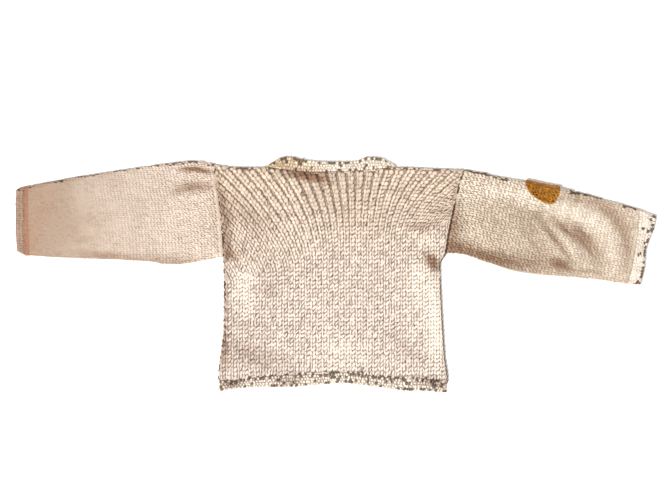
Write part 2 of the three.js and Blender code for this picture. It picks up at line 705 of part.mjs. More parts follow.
function patch(name, colour, tube) {
  const across = PATCH_STEPS_UNDER + 2 * FOLD_STEPS + PATCH_STEPS_OVER;
  const [over, under] = [column(PATCH, 'along', 'over'), column(PATCH, 'along', 'under')];
  const stations = PATCH.map((row) => stationAt(tube.plan, PATCH_START + row.along));
  const widths = stations.map((s) => Math.hypot(
    tube.plan(s, 1)[0] - tube.plan(s, 0)[0],
    tube.plan(s, 1)[1] - tube.plan(s, 0)[1],
  ));
  const corners = [];
  const rows = (PATCH.length - 1) * PATCH_ROWS_EACH;
  for (let i = 0; i <= rows; i += 1) {
    const before = Math.min(Math.floor(i / PATCH_ROWS_EACH), PATCH.length - 2);
    const share = i / PATCH_ROWS_EACH - before;
    const along = lerp(PATCH[before].along, PATCH[before + 1].along, share);
    patchColumns(under(along), over(along)).forEach((distance) => {
      [PATCH_GAP + PATCH_WALL, PATCH_GAP].forEach((out) => {
        const [near, far] = [before, before + 1].map((at) => (
          onSleeve(tube, stations[at], distance, widths[at], -out)
        ));
        corners.push(near.map((value, axis) => lerp(value, far[axis], share)));
      });
    });
  }
  const triangles = [];
  const quad = (a, b, c, d) => triangles.push([a, b, c], [a, c, d]);
  const row = 2 * (across + 1);
  const final = rows * row;
  for (let at = 0; at < final; at += row) {
    for (let j = 0; j < 2 * across; j += 2) {
      quad(at + j, at + j + 2, at + row + j + 2, at + row + j);
      quad(at + j + 1, at + row + j + 1, at + row + j + 3, at + j + 3);
    }
    const highEnd = at + 2 * across;
    quad(at, at + row, at + row + 1, at + 1);
    quad(highEnd + 1, highEnd + row + 1, highEnd + row, highEnd);
  }
  for (let j = 0; j < 2 * across; j += 2) {
    quad(j + 1, j + 3, j + 2, j);
    quad(final + j, final + j + 2, final + j + 3, final + j + 1);
  }
  return solid(name, corners, triangles, colour);
}

// ---------------------------------------------------------------- the sweater

const CREAM = '#e3d2bd';
const OATMEAL = '#d9c3ab';
const TAN = '#cdb095';
const IVORY = '#efe4d0';
const BARK = '#b99a82';
const OCHRE = '#b8760f';

const neckLine = (x) => topEdge(x) + GAP;
const hemLine = (x) => hemSeam(x) - GAP;
const rightSleeve = sleeve('right');

const neckband = ring(neckLine, column(NECKBAND_TOP, 'x', 'y'), NECK_LEFT, NECK_RIGHT, NECKBAND_DEPTH, 24);
const hemBand = ring(hemLine, hemEdge, HEM_LEFT, HEM_RIGHT, HEM_DEPTH, 40);

const sweater = new THREE.Group();
sweater.add(
  panel('front', CREAM, panelRows(0.1, 9), frontHeight, MIDDLE + AIR / 2),
  panel('back', CREAM, panelRows(0.06, 0), foldedDrop, WALL),
  flatTube('sleeve_left', TAN, sleeve('left')),
  flatTube('sleeve_right', OATMEAL, rightSleeve),
  flatTube('cuff_left', BARK, cuff('left')),
  flatTube('cuff_right', IVORY, cuff('right')),
  flatTube('neckband', IVORY, neckband),
  flatTube('hem_band', IVORY, hemBand),
  patch('elbow_patch', OCHRE, rightSleeve),
);

// The origin is under the middle of the whole sweater, on the table.
const box = new THREE.Box3().setFromObject(sweater);
const centre = box.getCenter(new THREE.Vector3());
sweater.position.set(-centre.x, -centre.y, -box.min.z);

export default sweater;
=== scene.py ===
# %% [markdown]
# # A child's hand-knitted wool sweater, laid out flat
# The real sweater is knitted in eight pieces of wool, sewn together, with a small knitted patch
# over one elbow. It lies on a table with both sleeves spread. This lesson rebuilds it as a maker
# would see it: first the cloth of each piece, as a thin closed shell in the shape of its solid,
# and then the yarn on it, stitch by stitch, because it is the separate stitches with the shadows
# between them that tell the eye that this is hand knitting.
#
# The frame holds the solids of the sweater. It is loaded first and never changed. Its box is kept.

# %% Load the frame
from collections import namedtuple
import bpy
import numpy as np
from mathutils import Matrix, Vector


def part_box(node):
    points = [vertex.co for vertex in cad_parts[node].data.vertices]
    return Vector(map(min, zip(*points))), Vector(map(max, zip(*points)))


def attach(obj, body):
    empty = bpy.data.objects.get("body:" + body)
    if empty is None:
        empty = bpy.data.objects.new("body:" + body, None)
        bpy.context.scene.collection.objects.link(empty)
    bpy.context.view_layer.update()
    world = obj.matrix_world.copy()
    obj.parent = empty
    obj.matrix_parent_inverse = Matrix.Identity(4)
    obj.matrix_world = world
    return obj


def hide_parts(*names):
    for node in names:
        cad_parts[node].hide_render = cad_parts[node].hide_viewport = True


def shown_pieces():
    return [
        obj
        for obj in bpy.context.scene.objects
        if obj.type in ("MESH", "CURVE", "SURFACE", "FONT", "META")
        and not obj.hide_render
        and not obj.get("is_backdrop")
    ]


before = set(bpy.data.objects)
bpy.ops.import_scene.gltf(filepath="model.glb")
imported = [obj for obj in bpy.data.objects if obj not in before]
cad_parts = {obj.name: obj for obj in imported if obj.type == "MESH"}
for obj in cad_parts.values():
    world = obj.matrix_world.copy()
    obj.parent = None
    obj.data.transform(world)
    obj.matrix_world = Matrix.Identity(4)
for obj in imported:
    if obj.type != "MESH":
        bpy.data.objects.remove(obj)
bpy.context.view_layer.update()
print("solids:", sorted(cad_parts))

# %% [markdown]
# ## Camera, table and light
# A garment laid on a table is looked at from straight above, so the camera hangs over it. A long
# lens keeps the view nearly free of perspective, as a catalogue picture has it. The table is a
# plain pale plane. Knitting shows by its shadows: a small soft light stands high at the front
# left, a large weak one opposite keeps the shadows open, and the surroundings add a pale glow.

# %% Camera
MM = 0.001
VIEW_WIDTH = 904.5 * MM  # from one side of the view to the other, at the height of the cloth
CLOTH_HEIGHT = 6 * MM
VIEW_CENTRE = (-1.5 * MM, 33.3 * MM)
LENS = 100.0
SENSOR = 36.0

scene = bpy.context.scene
camera_data = bpy.data.cameras.new("camera_above")
camera_data.lens = LENS
camera_data.sensor_width = SENSOR
camera = bpy.data.objects.new("camera_above", camera_data)
camera.location = (*VIEW_CENTRE, VIEW_WIDTH * LENS / SENSOR + CLOTH_HEIGHT)
scene.collection.objects.link(camera)
scene.camera = camera
print("camera height", round(camera.location.z, 3), "m")

# %% A function that adds a node
def hex_colour(text):
    """An sRGB hex colour as linear red, green, blue and alpha."""
    srgb = [int(text[i:i + 2], 16) / 255 for i in (1, 3, 5)]
    linear = [c / 12.92 if c <= 0.04045 else ((c + 0.055) / 1.055) ** 2.4 for c in srgb]
    return (*linear, 1.0)


def node(tree, kind, settings=None, **links):
    """Adds a node. settings are its own properties; links fill its inputs, by name or by _number,
    with a plain value or with another node's output."""
    made = tree.nodes.new(kind)
    for name, value in (settings or {}).items():
        setattr(made, name, value)
    for name, value in links.items():
        key = int(name[1:]) if name.startswith("_") else name.replace("_", " ")
        socket = made.inputs[key]
        if isinstance(value, bpy.types.NodeSocket):
            tree.links.new(value, socket)
        else:
            socket.default_value = value
    return made


def new_material(name):
    material = bpy.data.materials.new(name)
    material.use_nodes = True
    material.node_tree.nodes.clear()
    return material, material.node_tree


print("a middle grey as linear colour:", round(hex_colour("#808080")[0], 3))

# %% Table and lights
ROLLER_SCALE = 900.0  # the grain that a paint roller leaves, about a millimetre


def painted_board():
    """A board with matt white paint: no gloss at all, so the wool keeps all of the attention."""
    material, tree = new_material("matt_white_paint")
    place = node(tree, "ShaderNodeTexCoord").outputs["Object"]
    roller = node(tree, "ShaderNodeTexNoise", Vector=place, Scale=ROLLER_SCALE, Detail=2.0)
    bump = node(tree, "ShaderNodeBump", Strength=0.04, Distance=0.0004,
                Height=roller.outputs["Fac"])
    paint = node(tree, "ShaderNodeBsdfPrincipled", Base_Color=hex_colour("#f4f3f1"),
                 Roughness=0.85, Normal=bump.outputs["Normal"])
    node(tree, "ShaderNodeOutputMaterial", Surface=paint.outputs["BSDF"])
    return material


bpy.ops.mesh.primitive_plane_add(size=7.0, location=(0, 0, 0))
table = bpy.context.object
table.name = "table_top"
table.data.materials.append(painted_board())
table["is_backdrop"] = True


def soft_light(name, place, size, power, colour):
    """A square soft box that faces the middle of the sweater."""
    data = bpy.data.lights.new(name, "AREA")
    data.shape = "SQUARE"
    data.size = size
    data.energy = power
    data.color = hex_colour(colour)[:3]
    lamp = bpy.data.objects.new(name, data)
    lamp.location = place
    lamp.rotation_mode = "QUATERNION"
    lamp.rotation_quaternion = lamp.location.to_track_quat("Z", "Y")
    scene.collection.objects.link(lamp)


soft_light("key_light", (-0.9, -0.85, 2.6), 0.4, 91.0, "#fffaf4")
soft_light("fill_light", (1.5, 1.6, 2.0), 1.6, 12.0, "#f6f8ff")

world = bpy.data.worlds.new("pale_room")
scene.world = world
world.use_nodes = True
world.node_tree.nodes["Background"].inputs["Color"].default_value = hex_colour("#fbfaf8")
world.node_tree.nodes["Background"].inputs["Strength"].default_value = 0.60
scene.view_settings.view_transform = "Standard"
print("lights:", [o.name for o in scene.objects if o.type == "LIGHT"])

# %% [markdown]
# ## The sweater's own sizes
# Every piece follows the same few curves: the body's two side edges, the shoulder line with the
# neckline, the hem, and the folded edges of the sleeves. They are short tables in millimetres,
# and a smooth line goes through each. Both the shells and the stitches read these curves, so
# they can't drift apart.

# %% Sizes of the cloth, in millimetres
WALL = 3.0
AIR = 0.6  # between two layers that lie on each other
GAP = 0.3  # between two pieces at a seam
LAID = 2 * WALL + AIR
MIDDLE = LAID / 2
EDGE_ROUND = 3.5  # the cloth is rounded down over this distance from an edge
FOLDED_EDGE_DROP = 2.6
SEAM_DROP = 1.3
YARN_ROOM = 1.4  # the shell lies this far under the cloth's outer face, and the yarn fills it
ROOM_FADE, LEAST_ROOM = 2, 0.1  # but near an edge it comes up, to this share of the room
HEM_LEFT, HEM_RIGHT = -159, 148
NECK_LEFT, NECK_RIGHT = -93, 80
UNDERARM_Y = 25
BODY_HEIGHT = 275
print("a piece with both of its layers lies", LAID, "mm high")

# %% Outline tables
SIDES = [  # height on the body, left edge, right edge
    (-160, -158.5, 145.5), (-147, -159.6, 149.5), (-134, -159.6, 149.5), (-118, -157.8, 147.0),
    (-98, -155.0, 145.2), (-72, -152.5, 143.6), (-36, -152.0, 141.6), (0, -152.0, 140.0),
    (17, -152.5, 140.5), (27, -153.0, 146.4), (54, -154.6, 151.2), (78, -156.6, 155.8),
    (100, -159.2, 160.6), (122, -162.4, 165.9), (140, -165.8, 170.6), (153, -168.6, 173.8),
]
TOP = [  # place across, height of the shoulder or neckline
    (-172, 150.2), (-156, 147.4), (-138, 145.6), (-102, 145.2), (-90, 145.0), (-70, 142.2),
    (-54, 140.2), (-37, 138.9), (-6, 139.6), (14, 139.9), (42, 142.0), (60, 144.0),
    (76, 145.0), (92, 145.4), (115, 144.3), (151, 142.9), (176, 142.0),
]
NECKBAND_TOP = [  # place across, height of the neckband's upper edge
    (-93, 148.0), (-84, 153.4), (-73, 159.0), (-62, 159.4), (-48, 156.4), (-24, 153.4),
    (13, 152.8), (27, 153.6), (38, 158.4), (51, 159.0), (63, 157.0), (72, 151.6), (80, 147.6),
]
HEM = [  # place across, seam with the body, lower edge
    (-162, -141.8, -158.4), (-145, -142.0, -154.6), (-122, -140.0, -152.2),
    (-98, -137.4, -151.6), (-60, -134.8, -150.8), (-22, -134.0, -148.0), (8, -131.8, -145.8),
    (30, -133.6, -148.2), (56, -137.2, -151.0), (88, -139.8, -155.6), (118, -140.0, -156.4),
    (134, -143.2, -157.6), (151, -148.4, -159.0),
]
SLEEVES = {
    "left": {
        "shoulder": 150.2, "underarm": 24.6, "outward": -1,
        "over": [(-184, 153.6), (-207, 153.4), (-248, 148.2), (-290, 142.2), (-330, 136.2),
                 (-372, 129.0)],
        "under": [(-180, 19.4), (-206, 14.4), (-228, 14.4), (-262, 18.4), (-310, 20.8),
                  (-372, 23.2)],
        "cuff_seam": [(-420.5, 26.2), (-421.8, 72), (-422.0, 119.4)],
        "cuff_edge": [(-431.6, 32.0), (-433.0, 74), (-432.6, 115.6)],
    },
    "right": {
        "shoulder": 141.8, "underarm": 29.5, "outward": 1,
        "over": [(198.6, 138.0), (221, 132.2), (242, 129.4), (281, 120.8), (306, 116.8),
                 (362, 102.6)],
        "under": [(172, 27.6), (194, 20.2), (217, 11.8), (238, 5.0), (262, 0.8), (284, -1.4),
                  (320, -3.0), (358, -7.6)],
        "cuff_seam": [(393.5, -11.8), (399.6, 12), (405.6, 46), (409.6, 88.8)],
        "cuff_edge": [(410.4, -12.8), (415.4, 8), (418.2, 36), (427.2, 60), (432.0, 79.8)],
    },
}
print("the body's sides are given at", len(SIDES), "heights")

# %% Smooth lines and curves
def smooth_line(at, value):
    """A smooth line through the points (at, value), which takes arrays of places."""
    at, value = np.array(at, float), np.array(value, float)
    slope = np.empty_like(value)
    slope[1:-1] = (value[2:] - value[:-2]) / (at[2:] - at[:-2])
    slope[0] = (value[1] - value[0]) / (at[1] - at[0])
    slope[-1] = (value[-1] - value[-2]) / (at[-1] - at[-2])

    def line(place):
        i = np.clip(np.searchsorted(at, place) - 1, 0, len(at) - 2)
        length = at[i + 1] - at[i]
        k = np.clip((place - at[i]) / length, 0, 1)
        rise = k * k * (3 - 2 * k)
        leaving = k * (1 - k) ** 2 * length * slope[i]
        arriving = k * k * (k - 1) * length * slope[i + 1]
        return value[i] + (value[i + 1] - value[i]) * rise + leaving + arriving
    return line


def column(rows, which):
    """The smooth line from a table's first column to another one."""
    return smooth_line([row[0] for row in rows], [row[which] for row in rows])


def smooth_curve(points):
    """A smooth curve through (x, y) points, walked from 0 to 1."""
    points = np.array(points, float)
    at = np.concatenate([[0], np.cumsum(np.hypot(*np.diff(points, axis=0).T))])
    x, y = smooth_line(at, points[:, 0]), smooth_line(at, points[:, 1])
    return lambda t: np.stack([x(t * at[-1]), y(t * at[-1])], -1)


def smoothstep(value, low, high):
    """0 up to low, 1 from high on, and a smooth rise between them."""
    k = np.clip((value - low) / (high - low), 0, 1)
    return k * k * (3 - 2 * k)


left_side, right_side = column(SIDES, 1), column(SIDES, 2)
top_edge, neckband_top = column(TOP, 1), column(NECKBAND_TOP, 1)
hem_seam, hem_edge = column(HEM, 1), column(HEM, 2)
print("hem width", HEM_RIGHT - HEM_LEFT, "mm; cuff to cuff",
      SLEEVES["right"]["cuff_edge"][-1][0] - SLEEVES["left"]["cuff_edge"][1][0], "mm")

# %% [markdown]
# ## Soft folds and worn places
# Wool this thick doesn't crease sharply. What is left in it after it is laid down are low ridges
# and shallow troughs, each fading out along its own path. A table places them one by one, and
# the height of the cloth adds them up.
#
# Nor is the wool one colour. Painted shade darkens it in the troughs, along the seams and under the
# arms, partly with dust, and painted highlight pales it on the ridges, partly with rubbing. A
# second table places these in the same way. Its amounts run from 1, the full colour of painted
# shade and dust, to -1, painted highlight and rubbed pale.

# %% Folds, set one by one
FOLDS = {  # by piece: path over the table, half width, height
    "right": [
        ([(176, 116), (216, 117), (254, 112), (282, 98)], 15, 1.5),
        ([(262, 108), (300, 88), (342, 67), (381, 26)], 11, 1.9),
        ([(240, 78), (268, 62), (302, 44), (334, 20)], 10, 1.4),
        ([(176, 74), (214, 50), (246, 24)], 13, 0.9),
        ([(262, 88), (298, 70), (326, 52), (352, 30)], 10, -1.0),
        ([(350, 92), (380, 70), (394, 40), (392, 12)], 10, -1.0),
        ([(284, 24), (300, 15), (320, 7)], 8, -1.0),
        ([(150, 36), (187, 27), (221, 18), (250, 12)], 8, -1.1),
    ],
    "left": [
        ([(-200, 142), (-186, 142.5), (-168, 140)], 6, -1.1),
        ([(-224, 112), (-194, 118.5), (-166, 117)], 7, -1.2),
        ([(-212, 130), (-188, 131), (-165, 129)], 9, 1.0),
        ([(-362, 45), (-338, 48), (-314, 54)], 7, -0.9),
        ([(-350, 34), (-312, 30), (-272, 27)], 7, -0.9),
        ([(-248, 36), (-226, 32), (-204, 34)], 8, -0.9),
        ([(-340, 92), (-290, 84), (-236, 88)], 26, 0.8),
    ],
    "body": [
        ([(-152, -92), (-110, -112), (-62, -127)], 9, -0.7),
        ([(-146, 32), (-139, 24), (-126, 18)], 7, -0.8),
        ([(136, 24), (129, 12), (122, -4)], 7, 0.8),
        ([(122, 0), (128, -60), (130, -118)], 20, 0.6),
        ([(-96, 8), (-40, -24), (10, -30)], 30, 0.5),
    ],
}
FOLD_GAIN = 1.5  # the cloth's folds stand this much higher than the plain solids' own
print(sum(len(rows) for rows in FOLDS.values()), "folds")

# %% Painted shade and highlight, with some wear, set one by one
SHADE_AND_WEAR = {  # by piece: path over the table, half width, how dark with painted shade and dust (or pale with painted highlight and rubbing, below 0)
    "right": [
        ([(152, 114), (194, 117), (241, 110), (281, 94), (322, 83), (356, 67), (374, 40),
         (374, 8)], 11, -1.3),
        ([(324, 106), (364, 88), (388, 54), (390, 10)], 8, 0.65),
        ([(290, 80), (329, 50), (358, 16)], 9, 0.55),
        ([(164, 84), (160, 58), (158, 34)], 10, 0.6),
        ([(214, 16), (262, 12), (306, 10)], 9, 0.4),
        ([(306, 56), (322, 42), (336, 27)], 4, -0.6),
        ([(275, 74), (298, 44), (318, 18)], 3.2, 0.7),
        ([(289, 84), (314, 54), (337, 26)], 3.2, 0.6),
        ([(306, 84), (330, 60), (352, 32)], 4, 0.5),
        ([(282, 79), (306, 49), (327, 20)], 3, -0.5),
        ([(236, 92), (262, 70), (292, 36)], 16, 0.3),
        ([(204, 92), (212, 66), (232, 40)], 14, 0.15),
        ([(258, 90), (276, 92), (290, 84)], 8, 0.4),
        ([(292, 18), (302, 16), (314, 11)], 6, 0.9),
        ([(214, 30), (250, 22), (290, 20)], 10, 0.35),
        ([(140, 38), (172, 34), (202, 25), (238, 13)], 9, 1.0),
        ([(266, 70), (284, 48), (304, 24)], 2.2, -0.5),
        ([(296, 62), (312, 42), (326, 22)], 2.2, -0.4),
        ([(318, 60), (334, 42), (346, 26)], 2.4, 0.4),
        ([(246, 66), (262, 46), (280, 26)], 2.4, 0.35),
        ([(298, 8), (329, 6), (364, 3)], 3, 0.5),
        ([(306, 114), (304, 97)], 2.4, 0.4),
        ([(315, 113), (312, 96)], 2.4, 0.4),
        ([(325, 110), (322, 94)], 2.4, 0.4),
        ([(266, 87), (284, 80)], 6, 0.3),
        ([(170, 140), (163, 101), (156, 62), (151, 33)], 4, 0.5),
    ],
    "left": [
        ([(-212, 142), (-190, 143), (-166, 138)], 3.5, 1.2),
        ([(-222, 113), (-196, 119), (-168, 120)], 6, 0.85),
        ([(-350, 28), (-306, 25), (-268, 21)], 6, 0.6),
        ([(-276, 22), (-230, 18), (-184, 20)], 7, 0.55),
        ([(-356, 46), (-338, 49), (-320, 52)], 4, 0.3),
        ([(-170, 122), (-164, 76), (-159, 34)], 5, 0.25),
    ],
    "body": [
        ([(-86, 146), (-72, 152), (-58, 148)], 9, 0.5),
        ([(-72, 139), (-43, 136), (-8, 131)], 7, 0.8),
        ([(-164, 138), (-156, 100), (-148, 64), (-149, 26)], 7, 0.75),
        ([(-66, 137), (-40, 133), (-8, 126)], 5, 0.5),
        ([(-128, -50), (-118, -90), (-112, -126)], 26, 0.18),
        ([(92, -20), (104, -76), (112, -124)], 24, -0.14),
        ([(-118, 60), (-104, 10), (-98, -40)], 30, 0.15),
        ([(-151, 28), (-143, 26), (-132, 23)], 6, 0.5),
        ([(-156, -88), (-154, -112), (-148, -132)], 8, 0.35),
        ([(-154, -147), (-143, -147), (-130, -147)], 5, 0.9),
        ([(110, -141), (130, -144), (148, -148)], 5, 0.8),
        ([(-80, -143), (-64, -144), (-46, -144)], 5, 0.5),
        ([(171, 140), (163, 101), (155, 62), (149, 33)], 3, 0.7),
        ([(122, 25), (130, 17), (136, 6)], 6.5, 1.4),
        ([(112, 18), (108, -10), (110, -40)], 9, -0.6),
        ([(128, 6), (134, -60), (138, -128)], 11, -0.9),
        ([(90, 68), (114, 65), (138, 70)], 4, 0.5),
        ([(108, 48), (126, 44), (142, 50)], 8, -0.4),
        ([(66, -72), (98, -102), (126, -128)], 9, 0.35),
        ([(-150, 20), (-149, -60), (-152, -138)], 4.5, 0.7),
        ([(-150, 48), (-146, 34), (-138, 22)], 7, 0.4),
        ([(-140, 96), (-118, 76), (-96, 60)], 14, 0.25),
        ([(-130, -15), (-110, -20), (-88, -23)], 5, 0.35),
        ([(-152, -92), (-110, -112), (-62, -127)], 12, 0.35),
        ([(-127, 6), (-122, -18), (-120, -44)], 14, -0.7),
        ([(-20, -96), (14, -104), (44, -118)], 14, -0.35),
    ],
}
# these rows are painted shade and painted highlight, with some wear
print(sum(len(rows) for rows in SHADE_AND_WEAR.values()), "worn places")

# %% Adding them up
TRACE_STEPS = 14


def soft_paths(rows, gain=1.0):
    """A function that adds up, at any place, the soft ridges or patches of a table's rows."""
    steps = np.arange(TRACE_STEPS + 1)
    taper = np.sin(np.pi * (steps + 1.5) / (TRACE_STEPS + 3))  # low at both ends, but never 0
    traced = [(smooth_curve(path)(steps / TRACE_STEPS), width, gain * amount)
              for path, width, amount in rows]

    def total_at(x, y):
        total = np.zeros(np.shape(x))
        for points, width, amount in traced:
            best = np.zeros(np.shape(x))
            for (px, py), share in zip(points, taper):
                nearness = 1 - np.hypot(x - px, y - py) / (2 * width)
                best = np.maximum(best, smoothstep(nearness, 0, 1) * share)
            total += amount * best
        return total
    return total_at


body_folds = soft_paths(FOLDS["body"], FOLD_GAIN)
worn_at = {piece: soft_paths(rows) for piece, rows in SHADE_AND_WEAR.items()}
# the dark under the right arm is painted shade
print("how dusty it is under the right arm:", round(float(worn_at["body"](128.0, 18.0)), 2))

# %% [markdown]
# ## How the body is knitted
# A column of stitches is called a wale, and a row of them a course. The wales run straight up
# from the hem. Over the chest they draw apart and lean out like a fan, and there they stand up as
# ribs. One function says where a wale has got to at each height. Everything on the front reads
# it: the shell takes its ribs from it and the yarn its direction.

# %% Wales of the body
WALE_WIDTH = 7.6
FAN_X = 25  # the wale that stays upright
FAN_START, FAN_START_SLOPE, FAN_END = 35, 0.28, 147  # it opens higher up further right
FAN_SPREAD, FAN_SPREAD_OUTSIDE = 0.8, 1.1  # near the upright wale, and FAN_WIDTH from it
FAN_POWER, FAN_POWER_OUTSIDE, FAN_WIDTH = 2.3, 1.45, 95  # a high power spreads it late
RIB_HEIGHT, RIB_SHAPE = 1.9, 0.8  # a power below 1 makes round ribs with narrow valleys
RIB_FADE = (42, 88)  # between these heights the ribs rise
SOLVE_STEPS, SOLVE_SHARE = 28, 0.45


def wale_at(start, y):
    """Where the wale that begins at start has got to at height y."""
    out = start - FAN_X
    begin = FAN_START + FAN_START_SLOPE * out
    k = np.clip((y - begin) / (FAN_END - begin), 0, 1)
    outside = smoothstep(np.abs(out), 0, FAN_WIDTH)
    spread = FAN_SPREAD + (FAN_SPREAD_OUTSIDE - FAN_SPREAD) * outside
    power = FAN_POWER + (FAN_POWER_OUTSIDE - FAN_POWER) * outside
    return FAN_X + out * (1 + spread * k ** power)


def wale_through(x, y):
    """The start of the wale that passes through a place, found by small steps."""
    start = np.array(x, float)
    for _ in range(SOLVE_STEPS):
        start -= SOLVE_SHARE * (wale_at(start, y) - x)
    return start


apart = float(wale_at(FAN_X + WALE_WIDTH, FAN_END) - wale_at(FAN_X, FAN_END))
print("ribs under the neckline:", round(apart, 1), "mm apart")

# %% The height of the front
def rounded_drop(distance, depth):
    """How far the cloth is rounded down at a distance from an edge."""
    k = np.clip(1 - distance / EDGE_ROUND, 0, 1)
    return depth * (1 - np.sqrt(1 - k * k))


def body_edges(x, y):
    """Distances from a place on the body to its side, its upper edge and the hem seam."""
    side = np.minimum(x - left_side(y), right_side(y) - x)
    return side, top_edge(x) - y, y - hem_seam(x)


def folded_drop(x, y):
    """The same at the body's folded sides and at its shoulders."""
    side, top, _ = body_edges(x, y)
    at_side = np.where(y < UNDERARM_Y, rounded_drop(side, FOLDED_EDGE_DROP), 0)
    shoulder = (x < NECK_LEFT) | (x > NECK_RIGHT)
    return np.maximum(at_side, np.where(shoulder, rounded_drop(top, FOLDED_EDGE_DROP), 0))


def rib_profile(x, y):
    """0 in a valley between two ribs, 1 on a crest, and how far the ribs have risen here."""
    phase = (wale_through(x, y) - FAN_X) / WALE_WIDTH
    return np.abs(np.sin(np.pi * phase)) ** RIB_SHAPE, smoothstep(y, *RIB_FADE)


def room_for_yarn(distance):
    """How far the shell lies under the cloth's face, at a distance from an edge."""
    return YARN_ROOM * np.clip(distance / ROOM_FADE, LEAST_ROOM, 1)


def front_height(x, y):
    """The height of the front's shell over the table."""
    side, top, bottom = body_edges(x, y)
    edges = np.minimum(np.minimum(side, top), bottom)
    inset = np.clip(edges / EDGE_ROUND, 0, 1)
    crest, risen = rib_profile(x, y)
    drop = np.maximum(folded_drop(x, y), rounded_drop(edges, SEAM_DROP))
    raised = RIB_HEIGHT * crest * risen + body_folds(x, y)
    return LAID - room_for_yarn(edges) + raised * inset - drop


chest_x = np.linspace(NECK_LEFT, NECK_RIGHT, 200)
highest = front_height(chest_x, np.full(len(chest_x), 120.0)).max()
print("the front's shell is", round(float(highest), 1), "mm high on the ribs of the chest")

# %% [markdown]
# ## Shells
# Each shell is a closed mesh of plain quads, worked out with arrays, because a cloth that is a
# regular grid is quickest made that way. The front is a grid between its edges over a flat
# inside. The sleeves, cuffs and bands are tubes pressed flat: one turn round such a tube goes over
# the upper layer, round a folded edge, back along the lower layer and round the other edge.
# Every point carries two values for the wool material: how deep it lies between the stitches, which
# sets its painted shade there, and how much painted shade, painted highlight and wear the cloth has
# there.

# %% Turning arrays into meshes
body_shift = np.zeros(3)  # from the tables' own origin to the frame's, measured further on
SEED = 20
rng = np.random.default_rng(SEED)


def turned_outwards(points, faces):
    """The same faces, all reversed if together they enclose a negative volume."""
    volume = 0.0
    for block in faces:
        a = points[block[:, 0]]
        for i in range(1, block.shape[1] - 1):
            b, c = points[block[:, i]], points[block[:, i + 1]]
            volume += np.einsum("ij,ij->i", a, np.cross(b, c)).sum()
    return faces if volume > 0 else [block[:, ::-1] for block in faces]


def set_points(mesh, points, **values):
    """Gives a new mesh its points, in millimetres, and stores named values on them."""
    mesh.vertices.add(len(points))
    mesh.vertices.foreach_set("co", ((points + body_shift) * MM).astype(np.float32).ravel())
    for name, value in values.items():
        flat = np.ascontiguousarray(value, np.float32)
        kind, field = ("FLOAT_VECTOR", "vector") if flat.ndim == 2 else ("FLOAT", "value")
        mesh.attributes.new(name, kind, "POINT").data.foreach_set(field, flat.ravel())


def make_mesh(name, points, faces, material, **values):
    """A mesh object from points and arrays of faces."""
    faces = turned_outwards(points, faces)
    corners = np.concatenate([block.ravel() for block in faces]).astype(np.int32)
    totals = np.concatenate([np.full(len(block), block.shape[1]) for block in faces])
    mesh = bpy.data.meshes.new(name)
    set_points(mesh, points, **values)
    mesh.loops.add(len(corners))
    mesh.loops.foreach_set("vertex_index", corners)
    mesh.polygons.add(len(totals))
    starts = np.concatenate([[0], np.cumsum(totals)[:-1]]).astype(np.int32)
    mesh.polygons.foreach_set("loop_start", starts)
    mesh.update(calc_edges=True)
    mesh.shade_smooth()
    mesh.materials.append(material)
    piece = bpy.data.objects.new(name, mesh)
    scene.collection.objects.link(piece)
    return piece


print("random numbers start from seed", SEED)

# %% Faces of grids and strips
def grid_faces(rows, columns, closed=False):
    """Quads between the points of a grid that is stored row by row."""
    j = np.arange(columns if closed else columns - 1)
    after = (j + 1) % columns
    i = np.arange(rows - 1)[:, None] * columns
    return np.stack([i + j, i + after, i + columns + after, i + columns + j], -1).reshape(-1, 4)


def grid_rim(rows, columns):
    """The points round the edge of a grid, in order."""
    index = np.arange(rows * columns).reshape(rows, columns)
    return np.concatenate([index[0], index[1:, -1], index[-1, -2::-1], index[-2:0:-1, 0]])


def uneven(count):
    """Shares from a half to 1, most of them near a half, so that a few gaps are far darker."""
    return 0.5 + 0.5 * rng.random(count) ** 2


def strip_faces(ring, other):
    """Quads between two closed rings of points."""
    return np.stack([np.roll(ring, -1), ring, other, np.roll(other, -1)], -1)


print("a grid of 3 by 3 points has", len(grid_faces(3, 3)), "faces")

# %% The body's panels
PANEL_STEP = 1.9  # between points of the front, fine enough for four on each rib
BACK_STEP = 5.0
FIRST_ENDS = (-155.0, 145.0)  # a first guess for where a row ends, left and right
EDGE_STEPS = 8  # enough steps for the rows to end on the slanting sides


def panel_grid(rows, columns):
    """Points x, y that fill the body between its edges, row by row."""
    v = np.linspace(0, 1, rows)[:, None]
    x_left, x_right = [np.full((rows, 1), end) for end in FIRST_ENDS]
    for _ in range(EDGE_STEPS):
        x_left = left_side(hem_seam(x_left) * (1 - v) + top_edge(x_left) * v)
        x_right = right_side(hem_seam(x_right) * (1 - v) + top_edge(x_right) * v)
    x = x_left + (x_right - x_left) * np.linspace(0, 1, columns)
    return x, hem_seam(x) * (1 - v) + top_edge(x) * v


def panel(name, step, height_at, inside, material, hollow):
    """A closed panel: a grid as its outer face, over a flat inside with the same rim."""
    rows, columns = round(BODY_HEIGHT / step), round((HEM_RIGHT - HEM_LEFT) / step)
    x, y = panel_grid(rows, columns)
    outer = np.stack([x, y, height_at(x, y)], -1).reshape(-1, 3)
    rim = grid_rim(rows, columns)
    inner = outer[rim] * [1, 1, 0] + [0, 0, inside]
    near = len(outer) + np.arange(len(rim))
    points = np.concatenate([outer, inner])
    faces = [grid_faces(rows, columns), strip_faces(rim, near), near[None]]
    return make_mesh(name, points, faces, material, hollow=hollow * uneven(len(points)),
                     worn=worn_at["body"](points[:, 0], points[:, 1]))


under_arms = float(right_side(UNDERARM_Y) - left_side(UNDERARM_Y))
print("the body is", round(under_arms), "mm wide under the arms")

